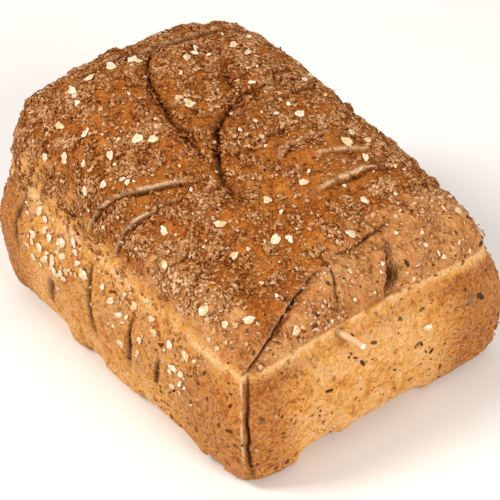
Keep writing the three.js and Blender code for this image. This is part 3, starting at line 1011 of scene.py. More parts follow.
@dataclass(frozen=True)
class CrustFinish:
    """Baked wholegrain crust: satin reddish brown on top, golden and mottled on the walls."""

    specular: float = 0.16
    rough: Pair = (0.62, 0.42)  # on the walls and on top
    bump: Pair = (0.8, 0.6)  # strength, and height in millimetres
    # Colours that a tone picks from.
    ramps: tuple = (
        ("top", ((0.34, "#6C2D04"), (0.5, "#A8590F"), (0.66, "#CE8130"))),
        ("end", ((0.3, "#9E561A"), (0.5, "#C8864A"), (0.68, "#E0AA6C"))),
        ("wall", ((0.32, "#B05E20"), (0.46, "#E09E4E"), (0.6, "#F0BC7C"), (0.72, "#F8DAAE"))),
    )
    # Colours of one shade.
    colours: tuple = (
        # pale rim: the paler shred line, partly painted highlight
        ("rim", "#ECBE86"),
        # bare dough on the lips; on the corner fold partly painted highlight
        ("lip", "#E8CCA6"),
        ("band", "#B06824"),
        # painted shade in cracks, creases and round the pick
        ("shaded_crack", "#2C0E02"),
        # toasting, and painted shade round the creases and under the +X rim
        ("toast_and_shade", "#A4561C"),
        ("freckle", "#8E4612"),
        ("fleck", "#4A1E05"),
        ("wall_fleck", "#7E3E10"),
        ("pale_fleck", "#CA8E52"),
        ("pale_end_fleck", "#E6C49C"),
        # painted shade where the skin meets the floor
        ("under", "#8A4A18"),
    )
    # Noises: name, size of the grains in millimetres, detail and roughness.
    noises: tuple = (
        ("patch", 16.0, 3, 0.55),
        ("blotch", 4.5, 4, 0.62),
        ("freckles", 2.0, 4, 0.65),
        ("flecks", 1.3, 2, 0.55),
        ("pale_flecks", 1.0, 2, 0.55),
        ("grain", 0.9, 3, 0.55),
        ("pits", 2.2, 3, 0.55),
    )
    # Weighted sums of noises, marks and earlier sums: name, terms, what is added, and the
    # low and high ends that are stretched to 0 and to the last number, if they are.
    sums: tuple = (
        ("tone", (("patch", 0.45), ("blotch", 0.55)), 0, ()),
        ("ragged", (("patch", 1.1), ("blotch", 0.9)), -1, ()),
        ("browned", (("top", 1), ("ragged", 1)), 0, (0.1, 0.9, 1)),
        ("toasted_and_shaded", (("toast_and_shade", 0.65), ("ragged", 1)), 0, (0.0, 0.9, 0.7)),
        ("freckled", (("freckles", 1), ("toast_and_shade", 0.1)), 0, (0.55, 0.71, 0.7)),
        ("ended", (("end", 1), ("ragged", 1)), 0, (0.2, 0.9, 1)),
        ("shaded", (("under", 0.8),), 0, ()),
        ("flecked", (("flecks", 1), ("top", 0.03)), 0, (0.66, 0.72, 0.8)),
        ("dusted", (("top", 1), ("end", -0.8)), 0, ()),
        ("light", (("pale_flecks", 1),), 0, (0.54, 0.64, 0.75)),
        ("ridge", (("blotch", 1), ("patch", 1)), 0, (0.8, 1.05, 0.9)),
        ("swept", (("band", 0.7),), 0, ()),
        ("pitted", (("pits", 1),), 0, (0.3, 0.62, 2.2)),
        ("height", (("grain", 1), ("pitted", 1), ("blotch", 1.5)), 0, ()),
    )
    # Layers, each laid by a share over a colour, from the bottom up.
    layers: tuple = (
        ("wall", "toasted_and_shaded", "wall", "toast_and_shade"),
        ("wall", "freckled", "wall", "freckle"),
        ("top", "ended", "top", "end"),
        ("fleck", "browned", "wall_fleck", "fleck"),
        ("pale", "end", "pale_fleck", "pale_end_fleck"),
        ("skin", "browned", "wall", "top"),
        ("skin", "shaded", "skin", "under"),
        ("skin", "flecked", "skin", "fleck"),
        ("skin", "light", "skin", "pale"),
        ("skin", "ridge", "skin", "rim"),
        ("skin", "swept", "skin", "band"),
        ("skin", "lip", "skin", "lip"),
        ("skin", "shaded_crack", "skin", "shaded_crack"),
    )

    def values(self, tree: bpy.types.NodeTree, where: Socket) -> dict[str, Socket]:
        """Work out the marks, noises and shares.

        Args:
            tree: The material's node tree.
            where: The piece's own coordinates.

        Returns:
            The outputs by name.
        """
        found = {
            mark.name: add_node(tree, "Attribute", {}, "Fac", attribute_name=mark.name)
            for mark in fields(Marks)
        }
        for name, size_mm, detail, rough in self.noises:
            inputs = {"Vector": where, "Scale": 1 / (size_mm * MM), "Detail": detail, "Roughness": rough}
            found[name] = add_node(tree, "TexNoise", inputs)
        for name, terms, total, span in self.sums:
            for source, weight in terms:
                inputs = {0: found[source], 1: weight, 2: total}
                total = add_node(tree, "Math", inputs, operation="MULTIPLY_ADD")
            if span:
                inputs = {0: total, 1: span[0], 2: span[1], 3: 0.0, 4: span[2]}
                total = add_node(tree, "MapRange", inputs, interpolation_type="SMOOTHSTEP")
            found[name] = total
        for name, other in (("light", "dusted"), ("ridge", "rim")):
            inputs = {0: found[name], 1: found[other]}
            found[name] = add_node(tree, "Math", inputs, operation="MULTIPLY")
        return found

    def material(self) -> bpy.types.Material:
        """Build the crust's material.

        Returns:
            The material.
        """
        material, tree, where = new_material("baked_wholegrain_crust")
        values = self.values(tree, where)
        colours = {name: linear(colour) for name, colour in self.colours}
        for name, stops in self.ramps:
            colours[name] = add_node(tree, "ValToRGB", {0: values["tone"]}, stops=stops)
        for name, share, low, high in self.layers:
            inputs = {0: values[share], 6: colours[low], 7: colours[high]}
            colours[name] = add_node(tree, "Mix", inputs, 2, data_type="RGBA")
        strength, height = self.bump
        inputs = {"Height": values["height"], "Strength": strength, "Distance": height * MM}
        skin = {
            "Base Color": colours["skin"],
            "Roughness": add_node(tree, "MapRange", {0: values["top"], 3: self.rough[0], 4: self.rough[1]}),
            "Normal": add_node(tree, "Bump", inputs),
            "Specular IOR Level": self.specular,
        }
        feed(tree, tree.nodes["Principled BSDF"], skin)
        return material


@dataclass(frozen=True)
class GrainFinish:
    """Dry, matt cereal: each piece has its own tone, with finer mottling over it."""

    name: str
    stops: tuple
    roughness: float = 0.8
    specular: float = 0.1
    mottle_mm: float = 0.7
    mottle: float = 0.25
    middle: str = ""  # colour of the middle of a piece, where it is toasted
    worn_mm: float = 2.4

    def material(self) -> bpy.types.Material:
        """Build the grain's material.

        Returns:
            The material.
        """
        material, tree, where = new_material(self.name)
        fine = add_node(tree, "TexNoise", {"Vector": where, "Scale": 1 / (self.mottle_mm * MM), "Detail": 3})
        tone = add_node(tree, "Attribute", {}, "Fac", attribute_name="tone")
        inputs = {0: fine, 1: 0.3, 2: 0.7, 3: -self.mottle, 4: self.mottle}
        tone = add_node(tree, "Math", {0: tone, 1: add_node(tree, "MapRange", inputs)}, operation="ADD")
        colour = add_node(tree, "ValToRGB", {0: tone}, stops=self.stops)
        if self.middle:
            inner = add_node(tree, "Attribute", {}, "Fac", attribute_name="middle")
            inputs = {"Vector": where, "Scale": 1 / (self.worn_mm * MM), "Detail": 2}
            broad = add_node(tree, "TexNoise", inputs)
            worn = add_node(tree, "MapRange", {0: broad, 1: 0.37, 2: 0.57, 3: 0.0, 4: 1.7})
            share = add_node(tree, "Math", {0: inner, 1: worn}, operation="MULTIPLY", use_clamp=True)
            inputs = {0: share, 6: colour, 7: linear(self.middle)}
            colour = add_node(tree, "Mix", inputs, 2, data_type="RGBA")
        bump = add_node(tree, "Bump", {"Height": fine, "Strength": 0.5, "Distance": 0.2 * MM})
        skin = {"Roughness": self.roughness, "Specular IOR Level": self.specular}
        feed(tree, tree.nodes["Principled BSDF"], {"Base Color": colour, "Normal": bump, **skin})
        return material


# Wheat bran: thin husk, tan to grey-beige; its darker tones are partly baked colour and partly painted shade
# for sunk pieces and pieces in the cracks.
WHEAT_BRAN = GrainFinish(
    "dry_wheat_bran",
    ((0.0, "#562004"), (0.3, "#8E4C1A"), (0.65, "#BA8450"), (1.0, "#DCB48C")),
    mottle_mm=0.9,
    mottle=0.14,
)
# Rolled oats: steamed and pressed grain, cream with a toasted middle.
ROLLED_OATS = GrainFinish(
    "rolled_oats", ((0.0, "#D0A064"), (0.4, "#E8D2AE"), (1.0, "#F8EEDC")), 0.7, 0.2, 0.9, 0.4, "#D2943F"
)
# Linseed: smooth, hard, satin brown husk.
LINSEED_HUSK = GrainFinish(
    "brown_linseed_husk", ((0.0, "#442814"), (0.6, "#684526"), (1.0, "#946C44")), 0.5, 0.12, 1.2, 0.25
)


@dataclass(frozen=True)
class BirchFinish:
    """Bare birch, split and rounded: straight fibres along the stick and a whiter cut end."""

    stops: tuple = ((0.25, "#B88A58"), (0.5, "#DEB488"), (0.75, "#F2D8B2"))
    cut_end: str = "#F6EAD8"
    roughness: float = 0.6
    fibre_mm: float = 0.35
    fibre_length_mm: float = 9.0

    def material(self, place: Matrix, end: float) -> bpy.types.Material:
        """Build the pick's material.

        Args:
            place: Matrix from the pick's own millimetres to the loaf's frame.
            end: Where the cut end is, along the pick in millimetres.

        Returns:
            The material.
        """
        material, tree, where = new_material("bare_birch")
        back = place.inverted()
        inputs = {"Vector": where, 1: back.to_translation(), 2: back.to_euler(), 3: back.to_scale()}
        own = add_node(tree, "Mapping", inputs, vector_type="POINT")
        stretch = (1 / self.fibre_mm, 1 / self.fibre_mm, 1 / self.fibre_length_mm)
        long_way = add_node(tree, "Mapping", {"Vector": own, 3: stretch}, vector_type="POINT")
        fibres = add_node(tree, "TexNoise", {"Vector": long_way, "Scale": 1.0, "Detail": 4})
        colour = add_node(tree, "ValToRGB", {0: fibres}, stops=self.stops)
        height = add_node(tree, "SeparateXYZ", {0: own}, 2)
        cut = add_node(tree, "MapRange", {0: height, 1: end - 0.2, 2: end - 0.05})
        inputs = {0: cut, 6: colour, 7: linear(self.cut_end)}
        skin = {
            "Base Color": add_node(tree, "Mix", inputs, 2, data_type="RGBA"),
            "Normal": add_node(tree, "Bump", {"Height": fibres, "Strength": 0.4, "Distance": 0.1 * MM}),
            "Roughness": self.roughness,
        }
        feed(tree, tree.nodes["Principled BSDF"], skin)
        return material


@dataclass(frozen=True)
class FloorFinish:
    """Matt white studio board."""

    colour: str = "#F4F3F1"
    roughness: float = 0.7

    def material(self) -> bpy.types.Material:
        """Build the board's material.

        Returns:
            The material.
        """
        material, tree, _ = new_material("matt_white_board")
        skin = {"Base Color": linear(self.colour), "Roughness": self.roughness}
        feed(tree, tree.nodes["Principled BSDF"], skin)
        return material


# ------------------------------------------------------------------ pieces


@dataclass
class Crust:
    """The loaf's crust, in one closed skin."""

    form: LoafForm
    finish: CrustFinish
    box: Box
    cells_along: int = 246
    cells_across: int = 206
    cells_up: int = 46
    underside_inset: float = 14.0
    underside_drop: float = 0.25  # height that the first ring in keeps
    underside_band: float = 1.5  # skin this near the floor is painted darker, as shade where the loaf meets the floor
    gather_reach: float = 6.0  # vertices this near a slash move closer to it
    gather_power: float = 0.8

    def boxed(self) -> bmesh.types.BMesh:
        """A unit box without a floor, cut up along, across and up.

        Returns:
            The box.
        """
        made = bmesh.new()
        bmesh.ops.create_cube(made, size=2)
        floor = [f for f in made.faces if all(v.co.z < 0 for v in f.verts)]
        bmesh.ops.delete(made, geom=floor, context="FACES_ONLY")
        for axis, cells in enumerate((self.cells_along, self.cells_across, self.cells_up)):
            edges = [e for e in made.edges if abs(e.verts[0].co[axis] - e.verts[1].co[axis]) > 1]
            bmesh.ops.subdivide_edges(made, edges=edges, cuts=cells - 1, use_grid_fill=True)
        return made

    def gathered(self, p: Array, q: Array) -> tuple[Array, Array]:
        """Draw the points of the top closer to the slashes, so that their edges stay sharp.

        Args:
            p: Shares along the loaf.
            q: Shares across the loaf.

        Returns:
            The moved shares.
        """
        a, b = p * self.form.crust_half_length, q * self.form.crust_half_width
        free = 1 - smooth_step(0.9, 0.97, np.maximum(np.abs(p), np.abs(q)))
        for slash in SLASHES:
            distance, share, offset = slash.measure(a, b)
            near = np.abs(distance) < self.gather_reach
            squeeze = (np.abs(distance) / self.gather_reach) ** self.gather_power - 1
            ends = smooth_step(0, 0.12, share) * smooth_step(1, 0.88, share)
            change = np.where(near, squeeze * free * ends, 0)
            a, b = a + offset[:, 0] * change, b + offset[:, 1] * change
        return a / self.form.crust_half_length, b / self.form.crust_half_width

    def close_underside(self, made: bmesh.types.BMesh) -> None:
        """Turn the foot in to the floor with two rings and fill the middle.

        Args:
            made: The moved skin, open at the foot, in millimetres.
        """
        rim = [e for e in made.edges if e.is_boundary]
        inset = 1 - self.underside_inset / (self.form.rim_width / 2)
        halfway = 0.5 + inset / 2
        for factor, drop in ((halfway, self.underside_drop), (inset / halfway, 0.0)):
            out = bmesh.ops.extrude_edge_only(made, edges=rim)["geom"]
            new = [g for g in out if isinstance(g, bmesh.types.BMVert)]
            bmesh.ops.scale(made, vec=(factor, factor, drop), verts=new)
            rim = [g for g in out if isinstance(g, bmesh.types.BMEdge) and g.is_boundary]
        bmesh.ops.holes_fill(made, edges=rim)

    def build(self) -> bpy.types.Object:
        """Build the crust and dress it.

        Returns:
            The crust's object, which stands for the loaf's solid.
        """
        mesh = as_mesh(self.boxed(), "crust_skin")
        flat = np.empty(len(mesh.vertices) * 3, np.float32)
        mesh.vertices.foreach_get("co", flat)
        p, q, w = flat.reshape(-1, 3).astype(float).T
        on_top = w > 1 - ON_FACE
        p_new, q_new = p.copy(), q.copy()
        p_new[on_top], q_new[on_top] = self.gathered(p[on_top], q[on_top])
        points, marks = self.form.crust(p_new, q_new, w)
        low, high = (np.array(corner) / MM for corner in self.box)
        points = np.clip(points, low, high)
        mesh.vertices.foreach_set("co", points.astype(np.float32).ravel())
        for name, values in vars(marks).items():
            attribute = mesh.attributes.new(name, "FLOAT", "POINT")
            attribute.data.foreach_set("value", values.astype(np.float32))
        made = bmesh.new()
        made.from_mesh(mesh)
        self.close_underside(made)
        # the skin near the floor is painted darker: painted shade where the loaf meets the floor
        under = made.verts.layers.float["under"]
        for vertex in made.verts:
            if vertex.co.z < self.underside_band:
                vertex[under] = 1.0
        bmesh.ops.scale(made, vec=(MM, MM, MM), verts=made.verts)
        bmesh.ops.recalc_face_normals(made, faces=made.faces)
        made.to_mesh(mesh)
        made.free()
        mesh.shade_smooth()
        piece = add_object(mesh)
        mesh.materials.append(self.finish.material())
        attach(piece, "root")
        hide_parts("loaf")
        return piece


class SeededDraws:
    """A repeatable stream of numbers from 0 to 1, the same as the solids are strewn by."""

    factor, step, size = 1664525, 1013904223, 2**32

    def __init__(self, seed: int) -> None:
        """Start the stream."""
        self.state = seed

    def __call__(self) -> float:
        """Draw the next number."""
        self.state = (self.factor * self.state + self.step) % self.size
        return self.state / self.size


@dataclass
class Lie:
    """Where the pieces of one kind lie, one row for each: places, normals, turns and sizes."""

    places: Array
    normals: Array
    spins: Array
    pitches: Array
    rolls: Array
    sizes: Array
    tones: Array


@dataclass
class Topping:
    """Small pieces of one kind, strewn over the crust and joined in one mesh."""

    form: LoafForm
    finish: GrainFinish
    box: Box
    name: str = ""
    slot: str = ""
    seed: int = 1

    def template(self) -> bmesh.types.BMesh:
        """Model one piece inside a box of side 1, lying flat."""
        raise NotImplementedError

    def lie(self, rng: np.random.Generator) -> Lie:
        """Choose where the pieces lie."""
        raise NotImplementedError

    def bent(self, points: Array, lie: Lie, rng: np.random.Generator) -> Array:
        """Shape the copies of the template, given as (pieces, points, 3)."""
        return points

    def turned(self, points: Array, lie: Lie) -> Array:
        """Pitch, roll and spin the copies, and set them on the crust.

        Args:
            points: Copies of the template at their sizes, as (pieces, points, 3).
            lie: Where they lie.

        Returns:
            The same points in the loaf's frame, in millimetres.
        """
        for axis, angles in ((1, lie.pitches), (0, lie.rolls), (2, lie.spins)):
            i, j = ((axis + 1) % 3, (axis + 2) % 3)
            cos, sin = np.cos(angles)[:, None], np.sin(angles)[:, None]
            a, b = points[..., i].copy(), points[..., j].copy()
            points[..., i], points[..., j] = cos * a - sin * b, sin * a + cos * b
        x, y, z = lie.normals.T
        bend = 1 / (1 + np.maximum(z, -0.9))
        across = np.stack([1 - x * x * bend, -x * y * bend, -x], 1)
        along = np.stack([-x * y * bend, 1 - y * y * bend, -y], 1)
        axes = np.stack([across, along, lie.normals], 1)
        return np.einsum("nvk,nkj->nvj", points, axes) + lie.places[:, None, :]

    def build(self) -> bpy.types.Object:
        """Strew the pieces and join them.

        Returns:
            The object of all pieces of this kind.
        """
        rng = np.random.default_rng(self.seed)
        mesh = as_mesh(self.template(), self.name)
        corners = np.array([v.co for v in mesh.vertices])
        faces = [np.array(f.vertices) for f in mesh.polygons]
        mesh.clear_geometry()
        lie = self.lie(rng)
        copies = corners[None] * lie.sizes[:, None, :]
        points = self.turned(self.bent(copies, lie, rng), lie) * MM
        inside = np.all((points > self.box[0]) & (points < self.box[1]), axis=(1, 2))
        points, tones = points[inside], lie.tones[inside]
        pieces, each = points.shape[:2]
        loops = np.concatenate(faces)
        totals = np.tile([len(f) for f in faces], pieces)
        mesh.vertices.add(pieces * each)
        mesh.vertices.foreach_set("co", points.astype(np.float32).ravel())
        mesh.loops.add(len(loops) * pieces)
        starts = np.arange(pieces)[:, None] * each
        mesh.loops.foreach_set("vertex_index", (loops[None] + starts).astype(np.int32).ravel())
        mesh.polygons.add(len(totals))
        first = np.concatenate([[0], np.cumsum(totals)[:-1]])
        mesh.polygons.foreach_set("loop_start", first.astype(np.int32))
        mesh.update(calc_edges=True)
        reach = np.linalg.norm(corners[:, :2], axis=1) * 2
        middles = np.tile(np.clip(1 - reach, 0, 1), pieces)
        for name, values in (("tone", np.repeat(tones, each)), ("middle", middles)):
            attribute = mesh.attributes.new(name, "FLOAT", "POINT")
            attribute.data.foreach_set("value", values.astype(np.float32))
        mesh.materials.append(self.finish.material())
        piece = add_object(mesh)
        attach(piece, "root")
        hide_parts("loaf")
        return piece


@dataclass
class BranBed:
    """Places on the top crust where bran lies: in clumps on the dome, thin at the +X end."""

    form: LoafForm
    tries: int = 130000
    seed: int = 30
    coarse_mm: float = 14.0
    clump_mm: float = 5.0
    pile: float = 1.0

    def __post_init__(self) -> None:
        """Draw the places."""
        rng = np.random.default_rng(self.seed)
        a = rng.uniform(-1, 1, self.tries) * self.form.crust_half_length
        b = rng.uniform(-1, 1, self.tries) * self.form.crust_half_width
        points, marks = self.form.at(Side.TOP, a, b)
        kept = rng.random(self.tries) < self.cover(a, b, points, marks)
        self.places, self.normals = self.form.placed(Side.TOP, a[kept], b[kept])
        clumps = self.form.lumps.at(points[kept], self.clump_mm)
        self.places += self.normals * (self.pile * smooth_step(-0.1, 0.7, clumps))[:, None]
        # tones: lighter and darker clumps, lighter at the +X end, and painted shade that darkens bran lying
        # in the cracks
        self.tones = 0.2 * self.form.lumps.at(self.places + 20, 5.5) - 0.5 * marks.shaded_crack[kept]
        self.tones += 0.2 * marks.end[kept]
        self.taken = 0

    def cover(self, a: Array, b: Array, points: Array, marks: Marks) -> Array:
        """How thick bran lies at places of the top crust, from 0 to 1.

        Args:
            a: Millimetres along the crust.
            b: Millimetres across the crust.
            points: The same places in the loaf's frame.
            marks: The marks on them.

        Returns:
            The shares.
        """
        coarse = self.form.lumps.at(points + 80, self.coarse_mm)
        clumps = self.form.lumps.at(points, self.clump_mm)
        far = 0.3 * smooth_step(10, 45, b) * smooth_step(72, 45, a)
        cover = mix(0.1, 1, smooth_step(-0.4, 0.4, 0.5 * coarse + 1.1 * clumps + far))
        thin_end = mix(1, 0.1, smooth_step(44, 86, a - 0.12 * b))
        shoulder = -b - 6 * smooth_step(0, -40, a)
        near_wall = mix(1, 0.12, smooth_step(76, 97, shoulder)) * mix(1, 0.5, smooth_step(84, 100, b))
        near_end = mix(1, 0.4, smooth_step(108, 122, np.abs(a)))
        cover = cover * thin_end * near_wall * near_end * (1 - 0.5 * marks.end)
        bare = (1 - 0.9 * marks.band) * (1 - 0.97 * marks.lip) * (1 - 0.35 * marks.shaded_crack)
        return np.clip(cover * bare, 0, 1)

    def clear(self, spots: Array, reach: Array) -> None:
        """Leave out the places that lie nearer to any spot than its reach.

        Args:
            spots: Spots as rows.
            reach: How far each spot reaches.
        """
        near = np.zeros(len(self.places), bool)
        for spot, radius in zip(spots, reach):
            near |= np.abs(self.places - spot).max(axis=1) < radius
        self.places, self.normals, self.tones = (x[~near] for x in (self.places, self.normals, self.tones))

    def take(self, count: int) -> tuple[Array, Array, Array]:
        """Hand out the points, normals and tones of the next places.

        Args:
            count: How many places are wanted.

        Returns:
            The points, normals and tones.
        """
        part = slice(self.taken, self.taken + count)
        self.taken += count
        return self.places[part], self.normals[part], self.tones[part]


class BranShape(Enum):
    """What a piece of bran is cut from, before it is bent."""

    BAR = "bar of two lengths"
    PLATE = "plate with a few corners"
    BALL = "ball"
    CUBE = "cube"


@dataclass(frozen=True)
class BranKind:
    """A kind of bran: its shape, how many lie on top, its sizes, and its tilts in degrees."""

    name: str
    shape: BranShape
    seed: int
    on_top: int
    length: Pair
    width: Pair
    thickness: float
    pitch: float
    roll: float
    sink: Pair  # lowest and highest lie over the skin
    on_walls: tuple[Strewing, ...]


BRAN_KINDS = (
    BranKind(
        "bran_shreds", BranShape.BAR, 31, 5000, (1.4, 3.8), (0.8, 1.6), 0.3, 16, 18, (-0.1, 0.6),
        (
            Strewing(Side.LEFT, (-98, 70), (0.8, 1), 40),
            Strewing(Side.RIGHT, (-98, 98), (0.75, 1), 110),
            Strewing(Side.BACK, (-74, 74), (0.75, 1), 80),
        ),
    ),
    BranKind(
        "bran_chips", BranShape.PLATE, 35, 9000, (1.4, 3.6), (1.2, 2.6), 0.28, 13, 13, (-0.1, 0.6),
        (
            Strewing(Side.LEFT, (-98, 70), (0.7, 1), 50),
            Strewing(Side.LEFT, (30, 98), (0.15, 0.95), 70),
            Strewing(Side.END, (-76, -36), (0.1, 0.95), 30),
            Strewing(Side.END, (-76, 76), (0.1, 0.98), 40),
            Strewing(Side.RIGHT, (-98, 98), (0.4, 1), 110),
            Strewing(Side.BACK, (-74, 74), (0.4, 1), 80),
        ),
    ),
    BranKind(
        "bran_flakes", BranShape.BALL, 36, 9000, (1.4, 3.4), (1.1, 2.5), 0.45, 14, 14, (-0.1, 0.5),
        (
            Strewing(Side.LEFT, (-98, 70), (0.8, 1), 40),
            Strewing(Side.RIGHT, (-98, 98), (0.5, 1), 110),
            Strewing(Side.BACK, (-74, 74), (0.5, 1), 80),
        ),
    ),
    BranKind(
        "bran_crumbs", BranShape.CUBE, 32, 11000, (0.5, 1.5), (0.4, 1.0), 0.4, 16, 18, (-0.1, 0.5),
        (
            Strewing(Side.LEFT, (-98, 98), (0.1, 1), 200),
            Strewing(Side.END, (-76, 76), (0.1, 0.98), 160),
            Strewing(Side.RIGHT, (-98, 98), (0.1, 1), 260),
            Strewing(Side.BACK, (-74, 74), (0.1, 1), 190),
        ),
    ),
)


@dataclass
class Bran(Topping):
    """Bran of one kind, from the bed on top and strewn over the walls."""

    slot: str = "bran"
    bed: BranBed | None = None
    kind: BranKind = BRAN_KINDS[0]
    curl: float = 0.18
    crumple: float = 0.1
    ragged: float = 0.11
    corners: int = 5

    def __post_init__(self) -> None:
        """Take the name and seed of the kind."""
        self.name, self.seed = self.kind.name, self.kind.seed

    def template(self) -> bmesh.types.BMesh:
        """Model one piece before it is bent.

        Returns:
            The model.
        """
        made = bmesh.new()
        if self.kind.shape is BranShape.PLATE:
            size = {"radius1": 0.5, "radius2": 0.42, "depth": 1}
            bmesh.ops.create_cone(made, cap_ends=True, segments=self.corners, **size)
        elif self.kind.shape is BranShape.BALL:
            bmesh.ops.create_icosphere(made, subdivisions=1, radius=0.5)
        else:
            bmesh.ops.create_cube(made, size=1)
        if self.kind.shape is BranShape.BAR:
            long_edges = [e for e in made.edges if abs(e.verts[0].co.x - e.verts[1].co.x) > 0.5]
            bmesh.ops.subdivide_edges(made, edges=long_edges, cuts=1, use_grid_fill=True)
        return made

    def lie(self, rng: np.random.Generator) -> Lie:
        """Choose where the pieces lie.

        Args:
            rng: Where the random draws come from.

        Returns:
            Where they lie.
        """
        kind = self.kind
        on_top = self.bed.take(kind.on_top)
        on_walls = self.form.placed_strewn(kind.on_walls, rng)
        places, normals = (np.concatenate(pair) for pair in zip(on_top, on_walls))
        count = len(places)
        # the bed's tones, which carry painted shade for bran in the cracks
        shade = np.zeros(count)
        shade[: len(on_top[2])] = on_top[2]
        small = rng.random(count) ** 1.7
        length = mix(*kind.length, small)
        width = np.minimum(mix(*kind.width, rng.random(count)), length)
        thick = kind.thickness * rng.uniform(0.7, 1.5, count)
        lift = rng.random(count)
        return Lie(
            places=places + normals * mix(*kind.sink, lift)[:, None],
            normals=normals,
            spins=rng.uniform(0, 2 * math.pi, count),
            pitches=np.radians(kind.pitch) * rng.normal(0, 0.7, count).clip(-1.6, 1.6),
            rolls=np.radians(kind.roll) * rng.normal(0, 0.7, count).clip(-1.6, 1.6),
            sizes=np.stack([length, width, thick], 1),
            # raised pieces are painted lighter and sunk ones darker: painted shade between the pieces
            tones=np.clip(0.3 + 0.36 * lift + shade + rng.normal(0, 0.16, count), 0, 1),
        )

    def bent(self, points: Array, lie: Lie, rng: np.random.Generator) -> Array:
        """Crumple the balls, and curl, taper and roughen the rest.

        Args:
            points: Copies of the template.
            lie: Where they lie.
            rng: Where the random draws come from.

        Returns:
            The bent copies.
        """
        if self.kind.shape is BranShape.BALL:
            return points + rng.normal(0, self.crumple, points.shape) * lie.sizes[:, None, :]
        length, width = lie.sizes[:, :1], lie.sizes[:, 1:2]
        along = 2 * points[..., 0] / length
        across = 2 * points[..., 1] / width
        curl = self.curl * rng.uniform(-0.6, 1, (len(points), 1))
        taper = rng.uniform(0.15, 0.8, (len(points), 1))
        skew = rng.uniform(-0.5, 0.5, (len(points), 1))
        points[..., 1] *= 1 - taper * along**2
        points[..., 1] += skew * width * along**2
        points[..., 2] += curl * length * along**2 * 0.5 + 0.3 * curl * width * across**2
        points[..., :2] += rng.normal(0, self.ragged, points[..., :2].shape) * width[..., None]
        return points


